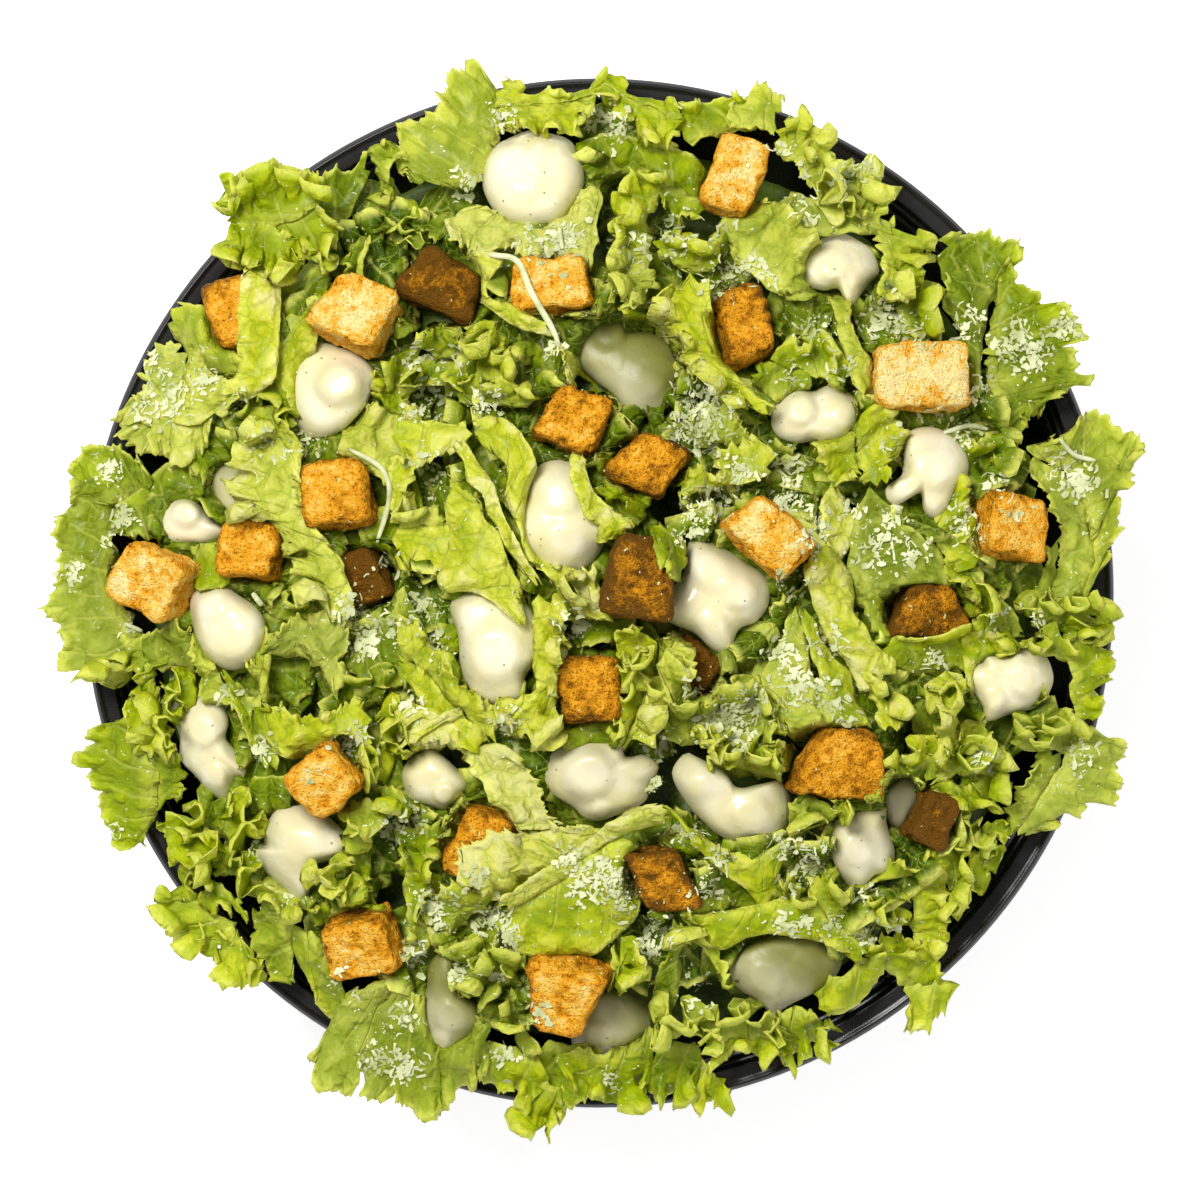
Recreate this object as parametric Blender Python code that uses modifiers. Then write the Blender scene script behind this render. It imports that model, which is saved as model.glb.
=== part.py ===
"""Caesar salad in the plastic bowl that it is served in.

A turned bowl with a stepped lid seat holds a heap of cut lettuce that spills over its rim.
Spoonfuls of thick dressing and croutons of toasted bread lie in hollows of the heap.
Lengths are in metres and +Z is up. The origin is the centre of the bowl's flat base.
"""

import math

import bmesh
import bpy
import numpy as np
from mathutils import Matrix, Vector
from mathutils.bvhtree import BVHTree

MM = 0.001

# Bowl: one thin moulded shell.
RIM_RADIUS = 102.5 * MM        # outside of the skirt that turns down from the ledge
RIM_HEIGHT = 50.0 * MM         # the flat ledge round the mouth
WALL = 0.8 * MM
WALL_SLOPE = math.radians(52)  # of the side wall, from the table
FILLET = 12.0 * MM             # between the floor and the side wall
FILLET_STEPS = 2
BOWL_STEPS = 48
# From the top of the side wall over the lid seat, the ledge and the bead to the skirt's foot:
# distance in from the rim's outside, and depth below the ledge, in millimetres.
LID_SEAT = (
    (8.0, 5.4), (7.4, 3.6), (6.3, 3.4), (5.8, 1.7), (4.9, 1.5), (4.4, 0.0),
    (1.8, 0.0), (0.9, -0.4), (0.0, 0.8), (0.0, 5.0),
)

# Lettuce: the whole heap, out to the tips of its leaves.
HEAP_SEGMENTS = 56
HEAP_TOP_RINGS = 16
HEAP_EDGE_RISE = 5.5 * MM      # of the heap's upper side above the ledge, at the outline
HEAP_CROWN = 21.0 * MM         # further rise towards the middle
HEAP_CLEARANCE = 0.8 * MM      # between the leaves and the bowl
HEAP_EDGE_DEPTH = 4.0 * MM     # least thickness of the leaves over the rim
HEAP_BASE_RADIUS = 95.0 * MM   # the outline between the leaf tips
# Rings of the underside, from the edge in, as radii; the first two straddle the lid seat.
UNDERSIDE_RADII = (97.5 * MM, 92.5 * MM, 66.0 * MM, 50.0 * MM, 26.0 * MM)
# Leaf tips that reach past the base outline: bearing in degrees from +X, reach and half-width
# of the tip in millimetres and degrees.
LEAF_TIPS = (
    (1, 101, 5), (14, 111, 6), (29, 109.5, 7), (40, 107.5, 5), (58, 99, 5), (71, 106, 6),
    (85, 100.5, 6), (104, 108, 6), (119, 99, 5), (131, 107, 5), (149, 101, 6), (163, 106, 8),
    (176, 109.5, 8), (188, 107, 5), (202, 109, 7), (218, 109.5, 8), (242, 113, 5), (250, 110, 5),
    (266, 107, 5), (280, 103.5, 6), (295, 102, 4), (309, 109, 4), (340, 111, 6), (351, 103.5, 6),
)
# Folds of the heap's upper side: waves across it, as direction in degrees, wavelength and
# height in millimetres, and phase in radians.
FOLDS = ((20, 52, 1.6, 0.4), (75, 38, 1.3, 2.1), (130, 29, 1.1, 4.0), (165, 61, 1.5, 1.2))

# Dressing: spoonfuls that keep their shape.
DOLLOP_SEGMENTS = 10
DOLLOP_RINGS = 6
DOLLOP_ROOF = 0.62             # share of a spoonful's height above its widest level
# Each as x, y, width, length, height in millimetres, turn in degrees, how far it sinks below
# the heap's surface, and its lobes as (bearing, reach, half-width in degrees).
DOLLOPS = (
    (-12.8, 81.9, 20.0, 20.0, 11, 0, 3, ((215, 10.6, 30),)),
    (-52.8, 40.3, 16.4, 17.6, 10, 20, 3, ((355, 9.6, 14), (245, 10.0, 35))),
    (4.8, 45.9, 20.0, 15.0, 8, -25, 11, ((122, 10.8, 22), (292, 12.6, 24), (350, 11.6, 25))),
    (47.8, 65.0, 15.6, 10.8, 9, 0, 5, ((200, 8.2, 28), (285, 9.6, 20))),
    (42.8, 35.7, 17.0, 10.4, 9, 5, 4, ((178, 9.0, 30), (12, 9.4, 30), (285, 7.0, 24))),
    (65.2, 27.0, 13.4, 11.6, 9, 0, 4, ((230, 13.4, 17), (271, 12.6, 22))),
    (-7.2, 15.5, 15.6, 21.0, 10, 0, 2, ((265, 10.9, 50),)),
    (-20.0, -9.6, 16.0, 18.6, 11, 0, 2, ((133, 12.2, 24), (273, 12.0, 35))),
    (23.2, 0.6, 18.4, 19.4, 11, -35, 3, ((202, 12.4, 22), (266, 12.4, 22), (20, 10.6, 40))),
    (-73.6, 20.6, 8.6, 11.4, 6, 8, 7, ()),
    (-80.4, 14.2, 14.8, 9.4, 8, -12, 5, ()),
    (-73.2, -6.6, 18.6, 13.4, 11, -38, 2, ()),
    (-77.4, -29.4, 12.2, 17.0, 9, 16, 5, ((287, 13.6, 18),)),
    (-58.4, -49.8, 17.2, 15.6, 10, 0, 3, ((270, 12.0, 16), (188, 10.2, 16), (50, 9.2, 30))),
    (-33.0, -36.6, 13.4, 13.6, 9, 0, 5, ((320, 8.6, 30),)),
    (-0.8, -35.8, 18.6, 12.4, 10, 0, 3, ((2, 12.4, 28), (268, 8.6, 28))),
    (26.6, -41.0, 22.0, 12.6, 11, -20, 2, ((150, 12.6, 24), (350, 10.8, 34))),
    (51.4, -50.1, 11.4, 14.6, 9, 0, 3, ((272, 8.8, 20), (325, 8.2, 22))),
    (59.8, -41.6, 7.4, 11.6, 6, -12, 7, ()),
    (80.6, -18.2, 14.6, 12.8, 9, 0, 3, ((183, 9.0, 16), (32, 9.4, 30))),
    (36.4, -74.2, 21.6, 13.2, 8, -6, 8, ((262, 9.0, 25), (350, 11.6, 20))),
    (-29.4, -82.0, 11.4, 16.0, 8, 5, 6, ((98, 11.0, 14), (257, 10.6, 18))),
    (3.4, -85.0, 14.8, 11.6, 8, 8, 8, ((200, 8.8, 25),)),
)

# Croutons: cubes of bread cut by hand, so none is square.
CROUTON_ROUNDING = 0.74        # where the rounding of an edge starts, as a share of half a side
CROUTON_CORNER = 0.045         # how far noise moves a corner, as a share of the sides
CROUTON_TILT = math.radians(7)
CROUTON_SEED = 41
# Each as x, y, width, length, height in millimetres, turn in degrees, skew (how far the
# length leans along the width), taper (narrower towards +length), and how far it sinks below
# the heap's surface, in millimetres.
CROUTONS = (
    (26.6, 82.4, 9.8, 15.4, 10, -18, 0.06, 0.00, 3),
    (-70.4, 55.2, 12.4, 13.6, 10, 12, 0.00, -0.12, 4),
    (-47.4, 54.8, 13.8, 12.8, 11, -28, 0.04, 0.06, 1),
    (-30.4, 60.6, 15.4, 10.6, 9, -28, 0.00, 0.20, 12),
    (-9.4, 60.4, 15.8, 10.6, 10, 4, -0.10, 0.10, 3),
    (28.4, 52.3, 9.6, 14.6, 10, 14, 0.00, 0.00, 5),
    (63.2, 42.7, 19.0, 12.6, 11, 3, 0.05, 0.03, 1),
    (-4.8, 33.8, 12.6, 12.0, 10, -20, 0.18, 0.10, 3),
    (10.0, 25.2, 11.6, 11.4, 10, -26, 0.20, 0.10, 5),
    (33.2, 11.4, 15.8, 10.8, 10, -43, 0.10, 0.04, 3),
    (-51.0, 19.4, 12.8, 12.4, 11, 9, 0.00, 0.06, 3),
    (-68.6, 8.1, 11.8, 10.4, 10, -6, 0.04, 0.00, 3),
    (-88.0, 2.4, 14.2, 12.6, 11, -24, 0.08, 0.04, 2),
    (-46.2, 3.0, 9.0, 11.6, 8, 26, 0.00, 0.08, 8),
    (7.8, 3.3, 12.2, 16.0, 10, -6, 0.00, 0.14, 7),
    (81.2, 13.2, 12.6, 12.6, 10, -12, -0.14, 0.06, 4),
    (64.6, -3.7, 13.6, 10.4, 9, 2, 0.06, 0.40, 9),
    (-2.0, -19.3, 11.4, 12.8, 10, 1, 0.00, 0.00, 3),
    (17.6, -14.4, 9.8, 9.6, 8, -38, 0.00, 0.00, 9),
    (47.4, -33.0, 15.6, 14.4, 11, -6, 0.18, 0.34, 3),
    (-53.8, -36.7, 11.6, 11.4, 11, 40, 0.00, 0.00, 1),
    (-23.6, -49.6, 10.4, 14.2, 10, -24, 0.00, 0.00, 5),
    (12.4, -55.8, 11.4, 12.0, 10, 2, -0.42, 0.00, 4),
    (65.6, -44.6, 7.6, 10.8, 8, -24, 0.00, 0.00, 8),
    (-46.8, -69.0, 13.4, 12.0, 10, 12, 0.00, 0.05, 4),
    (-6.4, -79.2, 13.0, 13.6, 10, -8, 0.06, -0.30, 3),
)

POCKET_MARGIN = 3.0 * MM       # of a hollow in the heap beyond the piece that lies in it
POCKET_SOFTNESS = 4.0 * MM     # width of a hollow's sloping side
REST_GAP = 0.5 * MM            # between a topping and what it lies on

PLASTIC = ("black_plastic", (0.012, 0.012, 0.014), 0.22)
LETTUCE = ("lettuce", (0.42, 0.56, 0.13), 0.5)
DRESSING = ("dressing", (0.86, 0.83, 0.68), 0.3)
CROUTON = ("crouton", (0.72, 0.38, 0.12), 0.8)


def clear_scene():
    for old in list(bpy.data.objects):
        bpy.data.objects.remove(old, do_unlink=True)


def make_material(name, colour, roughness):
    material = bpy.data.materials.new(name)
    material.use_nodes = True
    shader = material.node_tree.nodes["Principled BSDF"]
    shader.inputs["Base Color"].default_value = (*colour, 1.0)
    shader.inputs["Roughness"].default_value = roughness
    shader.inputs["Metallic"].default_value = 0.0
    return material


def add_object(name, mesh, material, collection):
    mesh.materials.append(material)
    piece = bpy.data.objects.new(name, mesh)
    collection.objects.link(piece)
    return piece


def bowl_skin():
    """Radius and height of the food side, from the axis over the rim to the skirt's foot."""
    seat = [(RIM_RADIUS - inset * MM, RIM_HEIGHT - depth * MM) for inset, depth in LID_SEAT]
    wall_radius, wall_height = seat[0]
    fillet_height = WALL + FILLET * (1 - math.cos(WALL_SLOPE))
    wall_run = (wall_height - fillet_height) / math.tan(WALL_SLOPE)
    floor_radius = wall_radius - wall_run - FILLET * math.sin(WALL_SLOPE)
    skin = [(0.0, WALL)]
    for step in range(FILLET_STEPS + 1):
        angle = WALL_SLOPE * step / FILLET_STEPS
        skin.append((floor_radius + FILLET * math.sin(angle), WALL + FILLET * (1 - math.cos(angle))))
    return skin + seat


def make_bowl(collection, material):
    """The shell: the skin turned round the axis, and given its wall on the far side."""
    points = [(radius, 0.0, height) for radius, height in bowl_skin()]
    mesh = bpy.data.meshes.new("bowl")
    mesh.from_pydata(points, [(i, i + 1) for i in range(len(points) - 1)], [])
    bowl = add_object("bowl", mesh, material, collection)
    turned = bowl.modifiers.new("turned", "SCREW")
    turned.steps = BOWL_STEPS
    turned.render_steps = BOWL_STEPS
    turned.use_merge_vertices = True
    turned.merge_threshold = 0.00001
    turned.use_smooth_shade = True
    shell = bowl.modifiers.new("wall", "SOLIDIFY")
    shell.thickness = WALL
    shell.offset = -1.0
    shell.use_even_offset = True


def heap_outline(bearing):
    """Distance of the heap's edge from the axis: a base circle with a smooth tip at each leaf."""
    reach = np.full_like(bearing, HEAP_BASE_RADIUS)
    for tip_bearing, tip_reach, half_width in LEAF_TIPS:
        away = (np.degrees(bearing) - tip_bearing + 180.0) % 360.0 - 180.0
        tip = (tip_reach * MM - HEAP_BASE_RADIUS) * np.exp(-(away / half_width) ** 2)
        reach = np.maximum(reach, HEAP_BASE_RADIUS + tip)
    return reach


def dome(x, y):
    """Height of the heap before its folds and hollows: a low dome over the mouth."""
    share = np.minimum(np.hypot(x, y) / RIM_RADIUS, 1.0)
    return RIM_HEIGHT + HEAP_EDGE_RISE + HEAP_CROWN * (1 - share**2) ** 0.9


def hollows():
    """Centre, radius and depth of the hollow that each topping lies in."""
    for x, y, width, length, height, _turn, sink, _lobes in DOLLOPS:
        yield x * MM, y * MM, 0.25 * (width + length) * MM, sink * MM
    for x, y, width, length, height, _turn, _skew, _taper, sink in CROUTONS:
        yield x * MM, y * MM, 0.27 * (width + length) * MM, sink * MM


def heap_top(x, y):
    """Height of the heap's upper side: the dome, plus its folds, down to the toppings' hollows."""
    height = dome(x, y)
    for direction, wavelength, rise, phase in FOLDS:
        along = x * math.cos(math.radians(direction)) + y * math.sin(math.radians(direction))
        height = height + rise * MM * np.sin(2 * math.pi * along / (wavelength * MM) + phase)
    floor = height
    for centre_x, centre_y, radius, depth in hollows():
        beyond = np.hypot(x - centre_x, y - centre_y) - radius - POCKET_MARGIN
        side = np.clip(1 - beyond / POCKET_SOFTNESS, 0.0, 1.0)
        side = side * side * (3 - 2 * side)
        level = dome(centre_x, centre_y) - depth + (dome(x, y) - dome(centre_x, centre_y))
        floor = np.minimum(floor, height + side * np.minimum(level - height, 0.0))
    return floor


def heap_underside(radius):
    """Height of the heap's underside: just above the bowl's food side, and level outside it."""
    radii, heights = np.array(bowl_skin()).T
    reached = np.maximum.accumulate(heights)
    return np.interp(radius + HEAP_CLEARANCE, radii, reached) + HEAP_CLEARANCE


def make_heap(collection, material):
    """The lettuce: a ball whose upper rings spread over the heap and lower rings line the bowl."""
    rings = HEAP_TOP_RINGS + len(UNDERSIDE_RADII) + 1
    ball = bmesh.new()
    bmesh.ops.create_uvsphere(ball, u_segments=HEAP_SEGMENTS, v_segments=rings, radius=1.0)
    spots = np.array([vert.co for vert in ball.verts])
    ring = np.rint(np.arccos(np.clip(spots[:, 2], -1, 1)) / math.pi * rings).astype(int)
    bearing = np.arctan2(spots[:, 1], spots[:, 0])
    outline = heap_outline(bearing)
    lining = np.array((0.0,) * (HEAP_TOP_RINGS + 1) + UNDERSIDE_RADII + (0.0,))
    on_top = ring <= HEAP_TOP_RINGS
    radius = np.where(on_top, outline * ring / HEAP_TOP_RINGS, np.minimum(lining[ring], outline - MM))
    x, y = radius * np.cos(bearing), radius * np.sin(bearing)
    lowest = heap_underside(np.where(ring < HEAP_TOP_RINGS, radius, np.maximum(lining[ring], radius)))
    height = np.where(on_top, np.maximum(heap_top(x, y), lowest + HEAP_EDGE_DEPTH), lowest)
    edge = ring == HEAP_TOP_RINGS
    height[edge] = 0.5 * (height + lowest)[edge]
    for vert, place in zip(ball.verts, np.column_stack((x, y, height))):
        vert.co = place
    mesh = bpy.data.meshes.new("lettuce")
    ball.to_mesh(mesh)
    ball.free()
    add_object("lettuce", mesh, material, collection)
    return mesh


def lean_on_dome(x, y):
    """Turn that lays a level piece along the dome's slope at a place."""
    step = 4 * MM
    slope_x = float(dome(x + step, y) - dome(x - step, y)) / (2 * step)
    slope_y = float(dome(x, y + step) - dome(x, y - step)) / (2 * step)
    normal = Vector((-slope_x, -slope_y, 1.0)).normalized()
    return Vector((0, 0, 1)).rotation_difference(normal).to_matrix().to_4x4()


def dollop_shape(width, length, height, turn, lobes):
    """A spoonful: a ball with an oval outline that bulges at each lobe, flatter underneath."""
    ball = bmesh.new()
    bmesh.ops.create_uvsphere(ball, u_segments=DOLLOP_SEGMENTS, v_segments=DOLLOP_RINGS, radius=1.0)
    spots = np.array([vert.co for vert in ball.verts])
    bearing = np.arctan2(spots[:, 1], spots[:, 0])
    own = bearing - math.radians(turn)
    reach = 0.5 / np.hypot(np.cos(own) / width, np.sin(own) / length)
    for lobe_bearing, lobe_reach, half_width in lobes:
        away = (np.degrees(bearing) - lobe_bearing + 180.0) % 360.0 - 180.0
        reach = reach + np.maximum(lobe_reach - reach, 0.0) * np.exp(-(away / half_width) ** 2)
    spread = np.hypot(spots[:, 0], spots[:, 1])
    share = np.where(spots[:, 2] > 0, DOLLOP_ROOF, 1 - DOLLOP_ROOF)
    places = np.column_stack((
        reach * spread * np.cos(bearing),
        reach * spread * np.sin(bearing),
        height * share * spots[:, 2],
    ))
    for vert, place in zip(ball.verts, places * MM):
        vert.co = place
    return ball


def crouton_shape(sides, skew, taper, generator):
    """A bread cube: a box with rounded edges, leaning and narrowing, each corner off true."""
    box = bmesh.new()
    bmesh.ops.create_cube(box, size=2.0)
    bmesh.ops.subdivide_edges(box, edges=box.edges, cuts=2, use_grid_fill=True)
    spots = np.array([vert.co for vert in box.verts])
    inner = np.abs(spots) < 0.9
    spots = np.where(inner, np.sign(spots) * CROUTON_ROUNDING, spots)
    outer = (~inner).sum(axis=1)
    spots = spots * np.where(inner, 1.0, np.choose(outer, (1.0, 1.0, 0.93, 0.84))[:, None])
    corner_shift = generator.normal(0.0, CROUTON_CORNER, (2, 2, 2, 3))
    for axis_corner in np.ndindex(2, 2, 2):
        nearness = np.prod(0.5 + np.where(axis_corner, 0.5, -0.5) * spots, axis=1)
        spots = spots + nearness[:, None] * corner_shift[axis_corner]
    places = 0.5 * spots * np.array(sides)
    places[:, 0] *= 1 - taper * spots[:, 1]
    places[:, 0] += skew * places[:, 1]
    for vert, place in zip(box.verts, places * MM):
        vert.co = place
    return box


def sample_points(shape):
    """A shape's corners and the points at the thirds of its edges."""
    points = [vert.co.copy() for vert in shape.verts]
    for edge in shape.edges:
        start, end = edge.verts
        points += [start.co.lerp(end.co, share) for share in (1 / 3, 2 / 3)]
    return points


def fall(shape, ground):
    """How far a shape can drop straight down until it touches the ground below it."""
    below = BVHTree.FromBMesh(ground)
    above = BVHTree.FromBMesh(shape)
    drops = [below.ray_cast(point, Vector((0, 0, -1)))[3] for point in sample_points(shape)]
    drops += [above.ray_cast(point, Vector((0, 0, 1)))[3] for point in sample_points(ground)]
    return min(drop for drop in drops if drop is not None)


def settle(name, shape, x, y, turned, ground, material, collection):
    """Lay a topping on the heap and on the toppings below it, and add it to the ground."""
    lifted = Matrix.Translation((x, y, 2 * RIM_HEIGHT + HEAP_CROWN)) @ lean_on_dome(x, y) @ turned
    bmesh.ops.transform(shape, matrix=lifted, verts=shape.verts)
    drop = fall(shape, ground) - REST_GAP
    bmesh.ops.translate(shape, vec=(0, 0, -drop), verts=shape.verts)
    mesh = bpy.data.meshes.new(name)
    shape.to_mesh(mesh)
    shape.free()
    ground.from_mesh(mesh)
    add_object(name, mesh, material, collection)


def make_dollops(ground, material, collection):
    for number, (x, y, width, length, height, turn, _sink, lobes) in enumerate(DOLLOPS, 1):
        shape = dollop_shape(width, length, height, turn, lobes)
        settle(f"dressing_{number:02d}", shape, x * MM, y * MM, Matrix(), ground, material, collection)


def make_croutons(ground, material, collection):
    generator = np.random.default_rng(CROUTON_SEED)
    for number, row in enumerate(CROUTONS, 1):
        x, y, width, length, height, turn, skew, taper, _sink = row
        shape = crouton_shape((width, length, height), skew, taper, generator)
        tilt_x, tilt_y = generator.uniform(-CROUTON_TILT, CROUTON_TILT, 2)
        turned = (
            Matrix.Rotation(tilt_x, 4, "X") @ Matrix.Rotation(tilt_y, 4, "Y")
            @ Matrix.Rotation(math.radians(turn), 4, "Z")
        )
        settle(f"crouton_{number:02d}", shape, x * MM, y * MM, turned, ground, material, collection)


clear_scene()
salad = bpy.data.collections.new("caesar_salad")
bpy.context.scene.collection.children.link(salad)
make_bowl(salad, make_material(*PLASTIC))
heap = make_heap(salad, make_material(*LETTUCE))
laid = bmesh.new()
laid.from_mesh(heap)
make_dollops(laid, make_material(*DRESSING), salad)
make_croutons(laid, make_material(*CROUTON), salad)
laid.free()
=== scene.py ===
"""Caesar salad in a black plastic bowl: the bowl, the leaves, the croutons, the dressing and the
cheese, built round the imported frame. Lengths are in metres and +Z is up.
"""

import bmesh
import bpy
import numpy as np
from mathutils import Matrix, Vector


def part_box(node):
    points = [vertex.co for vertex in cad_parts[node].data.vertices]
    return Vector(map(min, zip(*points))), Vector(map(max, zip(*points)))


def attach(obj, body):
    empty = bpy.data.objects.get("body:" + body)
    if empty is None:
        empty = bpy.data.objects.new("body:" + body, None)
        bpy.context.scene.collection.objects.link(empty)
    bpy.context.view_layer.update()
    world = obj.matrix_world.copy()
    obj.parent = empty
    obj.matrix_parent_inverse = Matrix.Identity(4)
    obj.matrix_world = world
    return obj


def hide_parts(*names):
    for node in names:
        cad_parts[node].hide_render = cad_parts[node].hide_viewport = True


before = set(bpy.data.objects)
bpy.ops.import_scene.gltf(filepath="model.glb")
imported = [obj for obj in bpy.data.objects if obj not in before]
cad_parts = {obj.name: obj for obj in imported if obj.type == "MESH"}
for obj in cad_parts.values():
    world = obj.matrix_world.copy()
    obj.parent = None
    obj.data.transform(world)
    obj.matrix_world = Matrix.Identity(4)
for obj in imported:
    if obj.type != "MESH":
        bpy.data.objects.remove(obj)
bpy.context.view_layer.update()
MM = 0.001

# ---------------------------------------------------------------------------------------------
# Bowl. A shallow bowl of glossy black plastic, moulded in one piece. Its rim is a flat ledge
# with a rounded outer edge and a short skirt; stepped rings inside it seat a snap-on lid.

BOWL_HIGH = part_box("bowl")[1]
RIM_RADIUS = BOWL_HIGH.x
BEAD_HEIGHT = 0.4 * MM
RIM_HEIGHT = BOWL_HIGH.z - BEAD_HEIGHT
WALL = 0.8 * MM
WALL_SLOPE = np.radians(52)
FILLET = 12 * MM
CORNER = 0.35 * MM
BOWL_SEGMENTS = 192
FILLET_STEPS = 9
SKIRT = 5.0 * MM
# The lid seat, the ledge and the bead in millimetres: how far in from the rim, how far below it.
LID_SEAT = (
    (8.0, 5.4), (7.4, 3.6), (6.3, 3.4), (5.8, 1.7), (4.9, 1.5), (4.4, 0.0),
    (1.8, 0.0), (0.9, -0.4), (0.0, 0.8),
)


class Socket:
    """A material node's output. Arithmetic on it adds Math nodes."""

    def __init__(self, finish, socket):
        self.finish = finish
        self.socket = socket

    def maths(self, operation, *values):
        return self.finish.node("ShaderNodeMath", {"operation": operation}, dict(enumerate(values)))

    def __add__(self, other):
        return self.maths("ADD", self, other)

    __radd__ = __add__

    def __sub__(self, other):
        return self.maths("SUBTRACT", self, other)

    def __rsub__(self, other):
        return self.maths("SUBTRACT", other, self)

    def __mul__(self, other):
        return self.maths("MULTIPLY", self, other)

    __rmul__ = __mul__

    def __truediv__(self, other):
        return self.maths("DIVIDE", self, other)

    def __abs__(self):
        return self.maths("ABSOLUTE", self)

    def fraction(self):
        return self.maths("FRACT", self)

    def most(self, other):
        return self.maths("MAXIMUM", self, other)

    def rise(self, low, high):
        """0 below low and 1 above high, eased between them; falls where low is above high."""
        spans = {"Value": self, "From Min": low, "From Max": high}
        if low > high:
            spans = {"Value": self, "From Min": high, "From Max": low, "To Min": 1.0, "To Max": 0.0}
        return self.finish.node("ShaderNodeMapRange", {"interpolation_type": "SMOOTHSTEP"}, spans)


class Finish:
    """A material under construction: its Principled shader and the nodes that feed it."""

    def __init__(self, name):
        self.material = bpy.data.materials.new(name)
        self.material.use_nodes = True
        self.tree = self.material.node_tree
        self.shader = self.tree.nodes["Principled BSDF"]
        self.surface = self.tree.nodes["Material Output"].inputs["Surface"]

    def node(self, kind, settings=None, inputs=None, output=0):
        """Add a node of a type: its settings first, then its sockets' values or links."""
        made = self.tree.nodes.new(kind)
        for key, value in (settings or {}).items():
            if key == "stops":
                stops = made.color_ramp.elements
                stops.remove(stops[1])
                stops[0].position, stops[0].color = value[0][0], (*value[0][1], 1.0)
                for place, colour in value[1:]:
                    stops.new(place).color = (*colour, 1.0)
            else:
                setattr(made, key, value)
        for key, value in (inputs or {}).items():
            self.put(made.inputs[key], value)
        return Socket(self, made.outputs[output])

    def put(self, socket, value):
        if isinstance(value, Socket):
            self.tree.links.new(value.socket, socket)
        elif isinstance(value, tuple) and len(value) == 3 and socket.type == "RGBA":
            socket.default_value = (*value, 1.0)
        else:
            socket.default_value = value

    def place(self):
        return self.node("ShaderNodeTexCoord", output="Object")

    def attribute(self, name):
        """The values at the mesh's points under this name."""
        return self.node("ShaderNodeAttribute", {"attribute_name": name}, output="Fac")

    def noise(self, where, size, detail=2.0, roughness=0.5):
        """Noise in 0..1 whose lumps are about this size, where the place is in metres."""
        inputs = {"Vector": where, "Scale": 1 / size, "Detail": detail, "Roughness": roughness}
        return self.node("ShaderNodeTexNoise", None, inputs)

    def blend(self, amount, first, second):
        """The first colour where the amount is 0 and the second where it is 1."""
        inputs = {0: amount, 6: first, 7: second}
        return self.node("ShaderNodeMix", {"data_type": "RGBA"}, inputs, output=2)

    def bump(self, height, depth):
        inputs = {"Height": height, "Distance": depth, "Strength": 1.0}
        return self.node("ShaderNodeBump", None, inputs)

    def finish(self, **sockets):
        """Set the Principled shader's sockets, named with _ for a space."""
        for key, value in sockets.items():
            self.put(self.shader.inputs[key.replace("_", " ")], value)
        return self.material


def show(mesh, name, material):
    """Put a mesh in the scene as a smooth piece of the one body."""
    mesh.shade_smooth()
    mesh.materials.clear()
    mesh.materials.append(material)
    piece = bpy.data.objects.new(name, mesh)
    bpy.context.scene.collection.objects.link(piece)
    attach(piece, "root")
    return piece


def set_values(mesh, **values):
    """Attributes of a mesh that hold a value for each point."""
    for name, row in values.items():
        made = mesh.attributes.new(name, "FLOAT", "POINT")
        made.data.foreach_set("value", np.ascontiguousarray(row, np.float32))


def add_piece(name, points, faces, material, weld=False, **values):
    """Make a piece from points (n, 3), a list or array of faces, and values at the points."""
    mesh = bpy.data.meshes.new(name)
    mesh.from_pydata(points, [], faces)
    set_values(mesh, **values)
    if weld:
        work = bmesh.new()
        work.from_mesh(mesh)
        bmesh.ops.remove_doubles(work, verts=work.verts, dist=1e-7)
        work.to_mesh(mesh)
        work.free()
    return show(mesh, name, material)


def grid_faces(rows, columns, wrap_columns=False):
    """Four-cornered faces of a grid of points that is stored row by row."""
    index = np.arange(rows * columns).reshape(rows, columns)
    if wrap_columns:
        index = np.hstack((index, index[:, :1]))
    corners = (index[:-1, :-1], index[:-1, 1:], index[1:, 1:], index[1:, :-1])
    return np.stack([corner.ravel() for corner in corners], axis=1)


def rounded(points, radius, steps=4):
    """A broken line with each corner replaced by a short parabola from side to side."""
    points = np.asarray(points, float)
    before, corner, after = points[:-2], points[1:-1], points[2:]
    cut_in = np.minimum(radius, 0.45 * np.linalg.norm(corner - before, axis=1))[:, None]
    cut_out = np.minimum(radius, 0.45 * np.linalg.norm(after - corner, axis=1))[:, None]
    enter = corner + (before - corner) / np.linalg.norm(before - corner, axis=1)[:, None] * cut_in
    leave = corner + (after - corner) / np.linalg.norm(after - corner, axis=1)[:, None] * cut_out
    t = np.linspace(0, 1, steps)[None, :, None]
    arcs = enter[:, None] * (1 - t) ** 2 + corner[:, None] * 2 * t * (1 - t) + leave[:, None] * t**2
    return np.vstack((points[:1], arcs.reshape(-1, 2), points[-1:]))


def bowl_skin():
    """Radius and height of the food side: floor, fillet, wall, lid seat, ledge, bead, skirt."""
    seat = [(RIM_RADIUS - inset * MM, RIM_HEIGHT - depth * MM) for inset, depth in LID_SEAT]
    wall_radius, wall_height = seat[0]
    wall_run = (wall_height - WALL - FILLET * (1 - np.cos(WALL_SLOPE))) / np.tan(WALL_SLOPE)
    floor_radius = wall_radius - wall_run - FILLET * np.sin(WALL_SLOPE)
    angles = np.linspace(0, WALL_SLOPE, FILLET_STEPS)
    fillet_height = WALL + FILLET * (1 - np.cos(angles))
    fillet = np.column_stack((floor_radius + FILLET * np.sin(angles), fillet_height))
    rim = rounded([fillet[-1], *seat, (RIM_RADIUS, RIM_HEIGHT - SKIRT)], CORNER)
    return np.vstack(((0, WALL), fillet[:-1], rim))


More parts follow.
